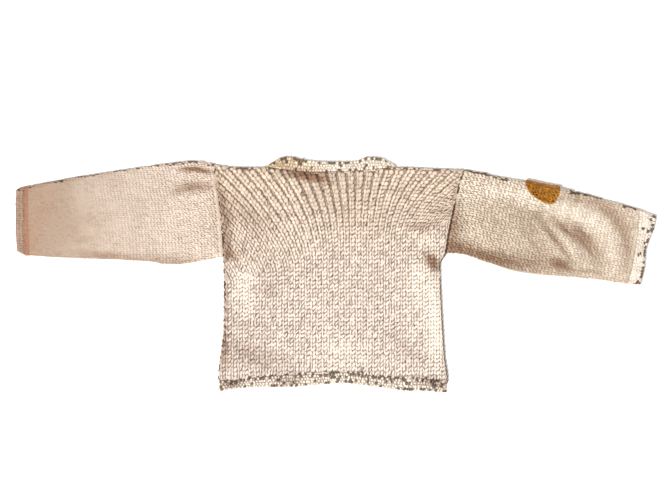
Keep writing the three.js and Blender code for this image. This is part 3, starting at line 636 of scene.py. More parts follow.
# %% The points of a tube pressed flat
LOFT = 0.9  # the air inside holds a tube this much higher along its middle
SEAM_WELT, SEAM_WELT_AT, SEAM_WELT_WIDTH = 0.9, 4.5, 6
SLEEVE_LENGTH = 255
QUARTER = np.pi / 2
INNER_STEP = 14  # between the rings of a tube's plain inner face
LEAST_RINGS, LEAST_INNER_RINGS, LEAST_BELOW = 5, 3, 4
FOLD_STEPS = 5  # from a folded edge up to the flat, and as many down to it
FELT_FILLS = 0.6  # felted cloth takes this share of the yarn's room


def between(start, end, low, high):
    """A point inside four curves: start and end cross the piece, low and high run along it."""
    ends = [curve(np.array(w)) for curve in (start, end) for w in (0.0, 1.0)]

    def plan(s, w):
        s, w = np.broadcast_arrays(np.asarray(s, float), np.asarray(w, float))
        s1, w1 = s[..., None], w[..., None]
        crossing = start(w) * (1 - s1) + end(w) * s1
        running = low(s) * (1 - w1) + high(s) * w1
        corners = ((ends[0] * (1 - w1) + ends[1] * w1) * (1 - s1)
                   + (ends[2] * (1 - w1) + ends[3] * w1) * s1)
        return crossing + running - corners
    return plan


def tube_width(tube, s):
    return np.linalg.norm(tube["plan"](s, 1) - tube["plan"](s, 0), axis=-1)


def tube_point(tube, s, rim, turn, across, depth):
    """A point of a flattened tube. turn is a quarter circle on the upper layer, 0 at the folded
    edge and minus a quarter on the lower layer. rim says which edge, and across is the share of
    the flat. depth 0 is the cloth's outer face."""
    low, high = tube["plan"](s, 0), tube["plan"](s, 1)
    width = np.linalg.norm(high - low, axis=-1)
    radius = MIDDLE - depth
    from_rim = depth + radius * (1 - np.cos(turn))
    on_flat = MIDDLE + across * (width - 2 * MIDDLE)
    on_fold = np.where(rim > 0.5, width - from_rim, from_rim)
    place = np.where(np.abs(turn) < QUARTER - 1e-6, on_fold, on_flat)
    inside = np.clip(place, 0, width)
    beyond = ((place - inside) / width)[..., None]
    xy = tube["plan"](s, inside / width) + beyond * (high - low)
    spot = {"x": xy[..., 0], "y": xy[..., 1], "s": s, "w": inside / width,
            "from_low": inside, "from_high": width - inside}
    relief = tube["relief"](spot) * (depth < WALL)
    raised = (tube["folds"](spot) + relief) * np.maximum(np.sin(turn), 0)
    z = MIDDLE + tube["lift"](spot) + radius * np.sin(turn) + raised
    return np.concatenate([xy, z[..., None]], -1)


def tube_at(tube, s, girth, depth):
    """The point at a distance round the tube: girth 0 is the middle of the upper layer, and it
    grows towards the high edge."""
    s, girth = np.broadcast_arrays(np.asarray(s, float), np.asarray(girth, float))
    half = tube_width(tube, s) / 2 - MIDDLE
    past = np.abs(girth) - half
    turn = QUARTER - np.clip(past, 0, np.pi * MIDDLE) / MIDDLE
    from_fold = np.where(past > 0, np.maximum(past - np.pi * MIDDLE, 0), -past)
    across = np.where(girth > 0, 1 - from_fold / (2 * half), from_fold / (2 * half))
    return tube_point(tube, s, (girth > 0) * 1.0, turn, across, depth)


print("a folded edge turns with a radius of", MIDDLE, "mm")

# %% A closed shell round a tube
def tube_loop(columns_above, columns_below):
    """One turn round: which edge, turn and share of the flat for each point."""
    arc = np.linspace(-QUARTER, QUARTER, 2 * FOLD_STEPS + 1)[1:-1]
    above = np.linspace(0, 1, columns_above + 1)
    below = np.linspace(1, 0, columns_below + 1)
    rim = np.concatenate([0 * arc, 0 * above, 0 * arc + 1, 0 * below + 1])
    turn = np.concatenate([arc, 0 * above + QUARTER, arc[::-1], 0 * below - QUARTER])
    across = np.concatenate([0 * arc, above, 0 * arc + 1, below])
    return rim, turn, across


def flat_tube(name, tube, material, step):
    """A closed shell: fine on its outer face, with a plain inner face that has fewer rings."""
    rings = max(LEAST_RINGS, round(tube["length"] / step))
    inner_rings = max(LEAST_INNER_RINGS, round(tube["length"] / INNER_STEP))
    columns = round(tube["wide"] / step)
    rim, turn, across = tube_loop(columns, max(LEAST_BELOW, columns // 3))
    count = len(turn)
    covered = np.clip(turn + 1, 0, 1)  # stitches cover the upper layer and end past the fold

    def surface(stations, depth):
        s = np.repeat(stations[:, None], count, 1)
        return tube_point(tube, s, rim + 0 * s, turn + 0 * s, across + 0 * s, depth)

    stations = np.linspace(0, 1, rings)
    from_end = np.minimum(stations, 1 - stations) * tube["length"]
    room = room_for_yarn(from_end) * (1 - FELT_FILLS * tube["felted"](stations))
    outer = surface(stations, room[:, None] * covered)
    inner = surface(np.linspace(0, 1, inner_rings), np.full((inner_rings, count), WALL))
    points = np.concatenate([outer.reshape(-1, 3), inner.reshape(-1, 3)])
    first = np.arange(count)
    last, first_in = first + (rings - 1) * count, first + rings * count
    last_in = first_in + (inner_rings - 1) * count
    faces = [grid_faces(rings, count, True), strip_faces(first, first_in),
             grid_faces(inner_rings, count, True)[:, ::-1] + rings * count,
             strip_faces(last_in, last)]
    hollow = np.zeros(len(points))
    hollow[:rings * count] = (tube["gaps"](stations)[:, None] * covered).ravel()
    hollow *= uneven(len(hollow))
    return make_mesh(name, points, faces, material, hollow=hollow,
                     worn=tube["worn"](points[:, 0], points[:, 1]))


print("one turn round a narrow tube has", len(tube_loop(12, LEAST_BELOW)[0]), "points")

# %% The plans of the sleeves, cuffs and bands
PATCH_GAP, PATCH_WALL, PATCH_START, PATCH_LENGTH = 0.8, 1.6, 256, 45.5
LIFT_REACH, LIFT_MARGIN = 20, 6
FOLDS_INSET = 14  # the folds have their full height this far inside a sleeve's edges
SLEEVE_SPAN, CUFF_SPAN = (262, 118), (13, 95)  # length and width, for the number of points
PLAN_GRID = 80


def nothing(spot):
    """For a piece without folds or lift: 0 at each point."""
    return np.zeros(np.shape(spot["x"]))


def patch_lift(spot):
    """How far the right sleeve is held up by the part of the patch that is folded under it."""
    past = np.maximum(PATCH_START - spot["x"], spot["x"] - PATCH_START - PATCH_LENGTH)
    alongside = 1 - np.maximum(past - LIFT_MARGIN, 0) / LIFT_REACH
    inwards = 2 - spot["from_high"] / LIFT_REACH
    return (PATCH_GAP + PATCH_WALL) * smoothstep(alongside, 0, 1) * smoothstep(inwards, 0, 1)


def rounded_ends(length):
    """Both ends of a tube are rounded down where a seam pulls them in. A narrow piece gives
    twice its length, and is rounded over half the distance."""
    return lambda spot: -rounded_drop(length * np.minimum(spot["s"], 1 - spot["s"]), SEAM_DROP)


def swollen(spot):
    """How much higher the air inside holds a tube, from edge to edge."""
    return LOFT * np.sin(np.pi * spot["w"])


def sleeve(side):
    """A sleeve from its armhole to its seam with the cuff."""
    table = SLEEVES[side]
    edge = left_side if side == "left" else right_side
    folds = soft_paths(FOLDS[side], FOLD_GAIN)

    def armhole(w):
        y = table["underarm"] + (table["shoulder"] - table["underarm"]) * w
        return np.stack([edge(y) + table["outward"] * GAP, y], -1)

    seam = smooth_curve(table["cuff_seam"])
    over = smooth_curve([armhole(np.array(1.0)), *table["over"], seam(1)])
    under = smooth_curve([armhole(np.array(0.0)), *table["under"], seam(0)])

    def folded(spot):
        from_edge = np.minimum(spot["from_low"], spot["from_high"])
        inset = smoothstep(from_edge, MIDDLE, FOLDS_INSET)
        return swollen(spot) + folds(spot["x"], spot["y"]) * inset

    def relief(spot):
        from_welt = np.abs(spot["s"] * SLEEVE_LENGTH - SEAM_WELT_AT)
        return (SEAM_WELT * smoothstep(1 - from_welt / SEAM_WELT_WIDTH, 0, 1)
                + rounded_ends(SLEEVE_LENGTH)(spot))

    return {"plan": between(armhole, seam, under, over), "folds": folded, "relief": relief,
            "lift": patch_lift if side == "right" else nothing, "length": SLEEVE_SPAN[0],
            "wide": SLEEVE_SPAN[1]}


def cuff(side):
    """A cuff from its seam with the sleeve to its free edge."""
    table = SLEEVES[side]
    seam, edge = smooth_curve(table["cuff_seam"]), smooth_curve(table["cuff_edge"])

    def near(w):
        return seam(w) + np.array([table["outward"] * GAP, 0])

    low, high = [smooth_curve([near(w), edge(w)]) for w in (np.array(0.0), np.array(1.0))]
    return {"plan": between(near, edge, low, high), "folds": swollen, "lift": nothing,
            "relief": rounded_ends(2 * CUFF_SPAN[0]), "length": CUFF_SPAN[0],
            "wide": CUFF_SPAN[1]}


def band(seam, edge, depth, x_left, x_right):
    """A band from the seam with the body to its own free edge."""
    def line(height):
        return lambda w: np.stack([x_left + (x_right - x_left) * w,
                                   height(x_left + (x_right - x_left) * w)], -1)
    near, far = line(seam), line(edge)
    low, high = [smooth_curve([near(w), far(w)]) for w in (np.array(0.0), np.array(1.0))]
    return {"plan": between(near, far, low, high), "folds": nothing, "lift": nothing,
            "relief": rounded_ends(2 * depth), "length": depth, "wide": x_right - x_left}


across_cuff = tube_width(sleeve("right"), 1.0)
print("the right sleeve is", round(float(across_cuff)), "mm wide at its cuff")

# %% How open and how felted each tube is
def steady(value):
    """The same value all along a tube."""
    return lambda s: np.full(np.shape(s), value)


# gaps: how dark it is between the stitches, and felted: how far they are worn into one surface,
# both by the place from the seam, 0, to the far end, 1
tubes = {
    "sleeve_left": {**sleeve("left"), "worn": worn_at["left"],
                    "gaps": lambda s: 0.02 + 0.75 * (1 - smoothstep(s, 0.0, 0.65)),
                    "felted": lambda s: np.clip(0.1 + 1.3 * s, 0, 1)},
    "sleeve_right": {**sleeve("right"), "worn": worn_at["right"],
                     "gaps": lambda s: 0.25 + 0.5 * (1 - smoothstep(s, 0.1, 0.8)),
                     "felted": lambda s: 0.05 + 0.45 * smoothstep(s, 0.4, 0.9)},
    "cuff_left": {**cuff("left"), "worn": worn_at["left"], "gaps": steady(0.04),
                  "felted": steady(0.7)},
    "cuff_right": {**cuff("right"), "worn": worn_at["right"],
                   "gaps": lambda s: 0.05 + 0.6 * smoothstep(s, 0.75, 1),
                   "felted": lambda s: 0.7 * (1 - smoothstep(s, 0.6, 1))},
    "neckband": {**band(lambda x: top_edge(x) + GAP, neckband_top, 13, NECK_LEFT, NECK_RIGHT),
                 "worn": worn_at["body"], "gaps": lambda s: 0.35 + 0.45 * s,
                 "felted": steady(0.3)},
    "hem_band": {**band(lambda x: hem_seam(x) - GAP, hem_edge, 15, HEM_LEFT, HEM_RIGHT),
                 "worn": worn_at["body"], "gaps": lambda s: 0.9 - 0.2 * s,
                 "felted": steady(0.0)},
}
own_low = np.array([grid.min() for grid in panel_grid(PLAN_GRID, PLAN_GRID)])
body_shift[:2] = np.array(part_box("front")[0][:2]) / MM - own_low
print("the frame's origin lies", np.round(-body_shift[:2], 2), "mm from the tables' own")

# %% [markdown]
# ## Wool
# The yarn is undyed and dyed sheep's wool, spun woollen and lightly felted by wear. It has no gloss
# of its own: its scales and loose fibres scatter light, which a rough surface with a little sheen
# gives. No two stitches have quite the same shade. Along a piece the colour changes slowly, by a
# ramp over the object's own coordinates, and small noise stands for the mixed fibres.

# %% The wool material
FIBRE = 0.35 * MM  # wool fibres are far finer; this is the coarseness that shows at arm's length
FIBRE_BUMP = 0.4 * MM
FIBRE_SHADES, FIBRE_DARKEST = 0.24, 0.88
DRIFT_SCALE, SPOT_SCALE = 16.0, 60.0  # shades wander over 60 mm, and dust lies in 17 mm spots
# a dusty brown, used for dust spots and for painted shade
DUST_AND_SHADE = "#7d5432"
# What lies over the wool's own colour: a value that the mesh carries, the amount of it at which
# the layer is in full, how much of it then covers, its colour and how the two are mixed.
LAYERS = (
    ("worn", -1.0, 0.75, "#f8f1e6", "MIX"),  # painted highlight, and rubbed pale
    # painted shade, partly dust
    ("worn", 1.0, 0.85, DUST_AND_SHADE, "MIX"),
    ("yarn_side", 1.0, 1.0, "#cfaf91", "MULTIPLY"),  # lit by light that has turned warm on wool
    ("hollow", 1.0, 1.0, "#5c4229", "MULTIPLY"),  # deep between the stitches, with little light
)


def wool(name, ramp, axis="X", span=(-0.4, 0.4), drift=0.02, mottle=0.10, uneven_dye=0.13):
    """Woollen-spun yarn. ramp is a list of (place, hex) along the axis over span, in metres."""
    material, tree = new_material(name)
    place = node(tree, "ShaderNodeTexCoord").outputs["Object"]
    split = node(tree, "ShaderNodeSeparateXYZ", Vector=place)
    slow = node(tree, "ShaderNodeTexNoise", Vector=place, Scale=DRIFT_SCALE, Detail=2.0)
    wander = node(tree, "ShaderNodeMapRange", Value=slow.outputs["Fac"], From_Min=0.25,
                  From_Max=0.75, To_Min=-drift, To_Max=drift)
    along = node(tree, "ShaderNodeMath", _0=split.outputs[axis], _1=wander.outputs["Result"])
    share = node(tree, "ShaderNodeMapRange", Value=along.outputs["Value"],
                 From_Min=span[0], From_Max=span[1])
    base_colour = node(tree, "ShaderNodeValToRGB", Fac=share.outputs["Result"])
    stops = base_colour.color_ramp.elements
    stops.remove(stops[1])
    stops[0].position, stops[0].color = ramp[0][0], hex_colour(ramp[0][1])
    for position, colour in ramp[1:]:
        stops.new(position).color = hex_colour(colour)

    patchy = node(tree, "ShaderNodeTexNoise", Vector=place, Scale=SPOT_SCALE, Detail=3.0)
    patches = node(tree, "ShaderNodeMapRange", Value=patchy.outputs["Fac"], From_Min=0.45,
                   From_Max=0.75, To_Min=0.0, To_Max=mottle)
    layers = [(patches.outputs["Result"], DUST_AND_SHADE, "MIX")]
    for carried, full, most, over, way in LAYERS:
        amount = node(tree, "ShaderNodeAttribute", {"attribute_name": carried}).outputs["Fac"]
        cover = node(tree, "ShaderNodeMapRange", Value=amount, From_Min=0.0, From_Max=full,
                     To_Min=0.0, To_Max=most)
        layers.append((cover.outputs["Result"], over, way))
    colour = base_colour.outputs["Color"]
    for cover, over, way in layers:
        colour = node(tree, "ShaderNodeMix", {"data_type": "RGBA", "blend_type": way}, _0=cover,
                      _6=colour, _7=hex_colour(over)).outputs[2]

    fibres = node(tree, "ShaderNodeTexNoise", Vector=place, Scale=1 / FIBRE, Detail=3.0)
    mixed = node(tree, "ShaderNodeMath", {"operation": "MULTIPLY_ADD"},
                 _0=fibres.outputs["Fac"], _1=FIBRE_SHADES, _2=FIBRE_DARKEST)
    own = node(tree, "ShaderNodeAttribute", {"attribute_name": "yarn_shade"})
    varied = node(tree, "ShaderNodeMath", {"operation": "MULTIPLY_ADD"},
                  _0=own.outputs["Fac"], _1=uneven_dye, _2=mixed.outputs["Value"])
    value = node(tree, "ShaderNodeHueSaturation", Value=varied.outputs["Value"], Color=colour)
    bump = node(tree, "ShaderNodeBump", Strength=0.5, Distance=FIBRE_BUMP,
                Height=fibres.outputs["Fac"])
    surface = node(tree, "ShaderNodeBsdfPrincipled", Base_Color=value.outputs["Color"],
                   Roughness=0.92, Specular_IOR_Level=0.15, Sheen_Weight=0.2,
                   Sheen_Roughness=0.5, Normal=bump.outputs["Normal"])
    node(tree, "ShaderNodeOutputMaterial", Surface=surface.outputs["BSDF"])
    return material


print("the noise of the fibres has a scale of", round(1 / FIBRE))

# %% The wools
cream_wool = wool("cream_wool", [(0.0, "#ded8d1"), (0.5, "#ddd4cb"), (0.8, "#dccec0"),
                                 (1.0, "#e0d2c0")], "Y", (-0.16, 0.16))
# the left sleeve goes from cream at the armhole to tan, darker towards the cuff
tan_wool = wool("tan_to_cream_wool", [(0.0, "#9e826f"), (0.2, "#a28f7f"), (0.45, "#bfb1a5"),
                                      (0.75, "#d4c8bd"), (1.0, "#ddd1c5")],
                span=(-0.43, -0.15), uneven_dye=0.07)
oatmeal_wool = wool("oatmeal_wool", [(0.0, "#dbd0c0"), (0.4, "#d4c8b7"), (0.9, "#cdc0b0"),
                                     (1.0, "#d8cebf")], span=(0.14, 0.43))
bark_wool = wool("bark_brown_wool", [(0.0, "#9c8576")], uneven_dye=0.07)
russet_wool = wool("russet_brown_wool", [(0.0, "#a37a63")], uneven_dye=0.05)
ivory_wool = wool("ivory_wool", [(0.0, "#e8e2d8")])
neck_wool = wool("yellowed_ivory_wool", [(0.0, "#e8d6b4"), (0.28, "#ece0ca"), (0.45, "#ebe4d8")],
                 span=(-0.093, 0.080), drift=0.006)
ochre_wool = wool("ochre_wool", [(0.0, "#a86a08"), (0.6, "#b97e12"), (1.0, "#bc8428")],
                  span=(0.256, 0.302), drift=0.008, mottle=0.35, uneven_dye=0.24)
print("wools:", [m.name for m in bpy.data.materials if "wool" in m.name])

# %% [markdown]
# ## The cloth of each piece
# Between the stitches the cloth is dark, because little light gets down to it. So each shell has
# its piece's own wool with a deep hollow value, and the stitches that are laid on it in the next
# step catch the light. Towards the cuffs the knitting is denser and hardly a gap shows.

# %% Shells
FRONT_HOLLOW, BACK_HOLLOW = 1.0, 0.1
WOOLS = {"front": cream_wool, "back": cream_wool, "sleeve_left": tan_wool,
         "sleeve_right": oatmeal_wool, "cuff_left": bark_wool, "cuff_right": ivory_wool,
         "neckband": neck_wool, "hem_band": ivory_wool, "elbow_patch": ochre_wool}
SLEEVE_STEP, BAND_STEP = 2.4, 1.6
shells = {
    "front": panel("front_cloth", PANEL_STEP, front_height, MIDDLE + AIR / 2, cream_wool,
                   FRONT_HOLLOW),
    "back": panel("back_cloth", BACK_STEP, folded_drop, WALL, cream_wool, BACK_HOLLOW),
}
for name, tube in tubes.items():
    step = SLEEVE_STEP if "sleeve" in name else BAND_STEP
    shells[name] = flat_tube(name + "_cloth", tube, WOOLS[name], step)
for name, shell in shells.items():
    print(name, len(shell.data.polygons), "faces")

# %% [markdown]
# ## Stitches
# In plain knitting each stitch shows as a V: two short stretches of yarn, its legs, that meet at
# the foot and lean apart. In garter stitch, which edges the hem, the neck and one cuff, the yarn
# shows as rows of short bumps. Both are the same thing to a modeller: one plump stretch of yarn,
# repeated thousands of times over a surface, each turned and sized by its place. That is what
# Geometry Nodes is for. The tree takes points that carry a turn and a size, puts a stretch of
# yarn on each, gives each its own shade, and makes it all one plain mesh. It also marks the sides
# of the yarn, which face their neighbours and so catch only light that has turned warm on wool.

# %% The stitch tree
def stitch_tree():
    """A tree that lays a stretch of yarn on each point of its host."""
    tree = bpy.data.node_groups.new("laid_yarn", "GeometryNodeTree")
    for name, kind in (("Geometry", "Geometry"), ("Facets Around", "Int"),
                       ("Facets Along", "Int"), ("Shade Seed", "Int"), ("Wool", "Material")):
        tree.interface.new_socket(name, in_out="INPUT", socket_type="NodeSocket" + kind)
    tree.interface.new_socket("Geometry", in_out="OUTPUT", socket_type="NodeSocketGeometry")
    turn_at, size_at = [
        node(tree, "GeometryNodeInputNamedAttribute", {"data_type": "FLOAT_VECTOR"},
             Name=name).outputs["Attribute"] for name in ("turn", "size")]
    given = node(tree, "NodeGroupInput").outputs
    yarn = node(tree, "GeometryNodeMeshUVSphere", Segments=given["Facets Around"],
                Rings=given["Facets Along"], Radius=0.5)
    lying = node(tree, "GeometryNodeTransform", Geometry=yarn.outputs["Mesh"],
                 Rotation=(QUARTER, 0, 0))
    height = node(tree, "ShaderNodeSeparateXYZ",
                  Vector=node(tree, "GeometryNodeInputPosition").outputs["Position"])
    side = node(tree, "ShaderNodeMapRange", Value=height.outputs["Z"], From_Min=0.42,
                From_Max=-0.05)
    marked = node(tree, "GeometryNodeStoreNamedAttribute",
                  {"data_type": "FLOAT", "domain": "POINT"}, Geometry=lying.outputs["Geometry"],
                  Name="yarn_side", Value=side.outputs["Result"])
    round_yarn = node(tree, "GeometryNodeSetShadeSmooth", Geometry=marked.outputs["Geometry"])
    turn = node(tree, "FunctionNodeEulerToRotation", Euler=turn_at)
    laid = node(tree, "GeometryNodeInstanceOnPoints", Points=given["Geometry"],
                Instance=round_yarn.outputs["Geometry"], Rotation=turn.outputs["Rotation"],
                Scale=size_at)
    own = node(tree, "FunctionNodeRandomValue", {"data_type": "FLOAT"}, _2=-1.0, _3=1.0,
               Seed=given["Shade Seed"])
    shaded = node(tree, "GeometryNodeStoreNamedAttribute",
                  {"data_type": "FLOAT", "domain": "INSTANCE"},
                  Geometry=laid.outputs["Instances"], Name="yarn_shade", Value=own.outputs[1])
    real = node(tree, "GeometryNodeRealizeInstances", Geometry=shaded.outputs["Geometry"])
    dyed = node(tree, "GeometryNodeSetMaterial", Geometry=real.outputs["Geometry"],
                Material=given["Wool"])
    node(tree, "NodeGroupOutput", Geometry=dyed.outputs["Geometry"])
    return tree


laid_yarn = stitch_tree()
print("the stitch tree has", len(laid_yarn.nodes), "nodes")

# %% A function that lays yarn
def set_inputs(modifier, **values):
    """Sets a modifier's inputs, by their names, through their identifiers."""
    for item in modifier.node_group.interface.items_tree:
        key = item.name.lower().replace(" ", "_")
        if item.in_out == "INPUT" and key in values:
            modifier[item.identifier] = values[key]


def made_plain(host, name):
    """The result of the host's modifiers as a plain mesh object, in place of the host."""
    view = bpy.context.evaluated_depsgraph_get()
    mesh = bpy.data.meshes.new_from_object(host.evaluated_get(view))
    mesh.name = name
    piece = bpy.data.objects.new(name, mesh)
    scene.collection.objects.link(piece)
    bpy.data.objects.remove(host)
    return piece


yarn_pieces = {name: [] for name in shells}


def lay_yarn(owner, what, laid, hollow, worn, material, around=6, along=5):
    """Stretches of yarn as one mesh, which goes with the shell of its owner."""
    points, turns, sizes = laid
    name = owner + "_" + what
    host_mesh = bpy.data.meshes.new(name + "_points")
    set_points(host_mesh, points, turn=turns, size=sizes * MM, hollow=hollow, worn=worn)
    host = bpy.data.objects.new(name + "_points", host_mesh)
    scene.collection.objects.link(host)
    modifier = host.modifiers.new("stitches", "NODES")
    modifier.node_group = laid_yarn
    seed = sum(len(pieces) for pieces in yarn_pieces.values()) + 1
    set_inputs(modifier, facets_around=around, facets_along=along, shade_seed=seed,
               wool=material)
    piece = made_plain(host, name)
    yarn_pieces[owner].append(piece)
    print(name, len(points), "stretches of yarn,", len(piece.data.polygons), "faces")


print("yarn can be laid on", *yarn_pieces)

# %% Directions on a cloth
Cloth = namedtuple("Cloth", "at step_a step_b")  # the steps are for measuring directions


def unit(v):
    return v / np.linalg.norm(v, axis=-1, keepdims=True)


def euler_angles(across, along, up):
    """The XYZ turns that carry the axes x, y and z to these three directions."""
    return np.stack([np.arctan2(along[:, 2], up[:, 2]),
                     -np.arcsin(np.clip(across[:, 2], -1, 1)),
                     np.arctan2(across[:, 1], across[:, 0])], -1)


def directions(cloth, a, b):
    """At each (a, b) of a cloth: unit directions across and along the wale and out of the
    cloth, and how many millimetres one unit of a covers, measured across."""
    over = cloth.at(a + cloth.step_a, b) - cloth.at(a - cloth.step_a, b)
    along = unit(cloth.at(a, b + cloth.step_b) - cloth.at(a, b - cloth.step_b))
    square = over - np.sum(over * along, -1, keepdims=True) * along
    stretch = np.linalg.norm(square, axis=-1) / (2 * cloth.step_a)
    across = unit(square)
    up = np.cross(across, along)
    flip = -1.0 if np.mean(up[:, 2]) < 0 else 1.0
    return across * flip, along, up * flip, stretch


def kept(laid, keep):
    return [block[keep] for block in laid]


def joined(*parts):
    return [np.concatenate(blocks) for blocks in zip(*parts)]


def laid_along(points, direction, up, sizes):
    """Points, turns and sizes of stretches of yarn that lie along a direction on a cloth."""
    return [points, euler_angles(np.cross(direction, up), direction, up), sizes]


no_turn = euler_angles(*[axis[None] for axis in np.eye(3)])
print("yarn along y on a level cloth is turned by", no_turn[0])

# %% Where each leg of a stitch lies
Knit = namedtuple("Knit", "wale course lean cover reach")
FIRST_STITCH = (0.3, 0.7)  # of the spacing, from a line's start to its first stitch
KNITS = {  # width of a wale, height of a course, lean of a leg, its width and length as shares
    "front": Knit(WALE_WIDTH, 5.6, 0.40, 0.54, 1.40),
    "sleeve_left": Knit(5.4, 4.4, 0.40, 0.58, 1.5),
    "sleeve_right": Knit(6.0, 5.0, 0.40, 0.57, 1.36),
    "cuff_left": Knit(6.7, 4.2, 0.30, 0.66, 1.6),
    "elbow_patch": Knit(5.2, 4.4, 0.40, 0.54, 1.4),
}


def spaced(cloth, a, b, spacing):
    """Places a, b at equal steps of real length along the line through the given ones."""
    line = cloth.at(a, b)
    length = np.concatenate([[0], np.cumsum(np.linalg.norm(np.diff(line, axis=0), axis=-1))])
    steps = np.arange(rng.uniform(*FIRST_STITCH), length[-1] / spacing) * spacing
    return np.interp(steps, length, a), np.interp(steps, length, b)


def wales_on(cloth, wales, b, spacing):
    """Places of all the stitches on a cloth, wale after wale."""
    places = [spaced(cloth, np.full(len(b), float(a)), b, spacing) for a in wales]
    return [np.concatenate(parts) for parts in zip(*places)]


# For each leg of a stitch: its side, and the shares of its lean, its width and its rise. The twist
# of the yarn lays the left leg flatter, thinner and nearly straight.
LEGS = ((-1, 0.05, 0.88, 0.0), (1, 1.4, 1.08, 0.20))
LEG_PLACE, LEG_HEIGHT = 0.25, 0.36  # from the wale's middle, and high, as shares of its width
LEG_TURN, LEG_ASTRAY = 0.18, 0.28  # how unevenly they are turned and placed, in rad and mm
LEG_WIDTHS, LEG_LENGTHS = (0.78, 1.12), (0.82, 1.1)  # they vary between these shares
LOOSE, LOOSE_THIN = 0.12, 0.45  # some legs are drawn thin by this share, with a dark gap beside
FELT_WIDER, FELT_LOWER, FELT_STEADIER = 0.3, 0.5, 0.75  # what felting does to a stitch
SHADED_STITCH = 0.9


def legs(cloth, a, b, knit, gather=0.0, felted=0.0):
    """Both legs of the stitches at (a, b). gather draws them together on a rib's crest, and
    felted, from 0 to 1, flattens them into a closed surface."""
    both = []
    count = len(a)
    for side, lean_share, width_share, raised in LEGS:
        where = a + side * knit.wale * (LEG_PLACE - gather)
        across, along, up, stretch = directions(cloth, where, b)
        angle = (knit.lean * lean_share * side + rng.normal(0, LEG_TURN, count))[:, None]
        direction = np.cos(angle) * along + np.sin(angle) * across
        drawn = 1 - LOOSE_THIN * (rng.random(count) < LOOSE) * (1 - felted)
        thick = knit.wale * stretch * knit.cover * width_share * (1 + FELT_WIDER * felted) * drawn
        high = knit.wale * LEG_HEIGHT * (1 - FELT_LOWER * felted) * drawn
        sizes = np.stack([thick * rng.uniform(*LEG_WIDTHS, count),
                          knit.course * knit.reach * rng.uniform(*LEG_LENGTHS, count), high], -1)
        middle = cloth.at(where, b) + up * (high * raised * (1 - felted))[:, None]
        steadied = 1 - FELT_STEADIER * np.reshape(felted, (-1, 1))
        middle += rng.normal(0, LEG_ASTRAY, (count, 3)) * steadied
        both.append(laid_along(middle, direction, up, sizes))
    return joined(*both)


def shade_at_random(share):
    """Painted shade for a share of the stitches, picked at random, which then look deep and dark.
    """
    return SHADED_STITCH * (rng.random(len(share)) < share)


print("a stitch of the front is", round(KNITS["front"].course * KNITS["front"].reach, 1), "mm long")

# %% A line of stitches along a seam
CHAIN_TURN, CHAIN_HEIGHT = 0.1, 0.8
CHAIN_WIDTHS, CHAIN_LENGTHS = (0.85, 1.15), (1.35, 1.6)  # they vary between these shares
SEAM_STITCH, SEAM_YARN = 3.4, 2.6


def chain(cloth, a, b, spacing=SEAM_STITCH, thick=SEAM_YARN, lean=0.35):
    """A line of small stitches along a seam or an edge."""
    a, b = spaced(cloth, a, b, spacing)
    up = directions(cloth, a, b)[2]
    middle = cloth.at(a, b)
    along = unit(np.gradient(middle, axis=0))
    zigzag = np.where(np.arange(len(a)) % 2 == 0, lean, -lean)
    zigzag = zigzag + rng.normal(0, CHAIN_TURN, len(a))
    direction = (np.cos(zigzag)[:, None] * along
                 + np.sin(zigzag)[:, None] * np.cross(up, along))
    direction = unit(direction - np.sum(direction * up, -1, keepdims=True) * up)
    sizes = np.stack([thick * rng.uniform(*CHAIN_WIDTHS, len(a)),
                      spacing * rng.uniform(*CHAIN_LENGTHS, len(a)),
                      np.full(len(a), thick * CHAIN_HEIGHT)], -1)
    return laid_along(middle, direction, up, sizes)


print("seam stitches", SEAM_STITCH, "mm apart, of yarn", SEAM_YARN, "mm thick")

# %% Stitches of the front
EDGE_CLEAR = 2.0
FRONT_WALES = np.arange(-26, 22)  # counted from the upright one
FRONT_RISE = np.linspace(-152, 156, 620)
DIRECTION_STEP = 0.4
FLAT_WHERE_PALE = 1.1  # where the wool is painted pale, with painted highlight and rubbed wear, its stitches are also felted flat, by this share of it
VALLEY_HOLLOW, VALLEY_SHAPE = 0.6, 1.3  # how dark painted shade gets between two ribs, and how narrowly
SEAM_HOLLOW, SEAM_FADE = 0.25, 3  # how dark painted shade makes the stitches at a seam, and over what distance
GATHER = 0.045  # the legs are drawn together this much on a rib's crest, as a share of a wale
NECK_GATHER, NECK_SHADE = 0.055, 0.18  # and more under the neckline, where painted shade darkens the ribs
UNDER_NECK_X, UNDER_NECK_WIDTH, UNDER_NECK_DEPTH, UNDER_NECK_FADE = 0, 66, 78, 0.5


def under_neck(x, y):
    """1 at the middle of the neckline, fading to 0 round it."""
    from_neck = np.hypot((x - UNDER_NECK_X) / UNDER_NECK_WIDTH,
                         (top_edge(x) - y) / UNDER_NECK_DEPTH)
    return smoothstep(1 - from_neck, 0, UNDER_NECK_FADE)


def on_front(start, y):
    x = wale_at(start, y)
    return np.stack([x, y, front_height(x, y)], -1)


front_cloth = Cloth(on_front, DIRECTION_STEP, DIRECTION_STEP)
wales = FAN_X + (FRONT_WALES + 0.5) * WALE_WIDTH
a, b = wales_on(front_cloth, wales, FRONT_RISE, KNITS["front"].course)
gather = (GATHER + NECK_GATHER * under_neck(wale_at(a, b), b)) * smoothstep(b, *RIB_FADE)
flattened_where_pale = FLAT_WHERE_PALE * np.clip(-worn_at["body"](wale_at(a, b), b), 0, 1)
stitches = legs(front_cloth, a, b, KNITS["front"], gather, flattened_where_pale)
stitches = kept(stitches, np.min(body_edges(*stitches[0].T[:2]), axis=0) > EDGE_CLEAR)
x, y, _ = stitches[0].T
crest, risen = rib_profile(x, y)
near_seam = np.exp(-np.min(body_edges(x, y), axis=0) / SEAM_FADE)
hollow = VALLEY_HOLLOW * risen * (1 - crest) ** VALLEY_SHAPE + SEAM_HOLLOW * near_seam
# painted shade under the neckline darkens the ribs there
worn = worn_at["body"](x, y) + NECK_SHADE * under_neck(x, y)
lay_yarn("front", "stitches", stitches, hollow, worn, cream_wool)

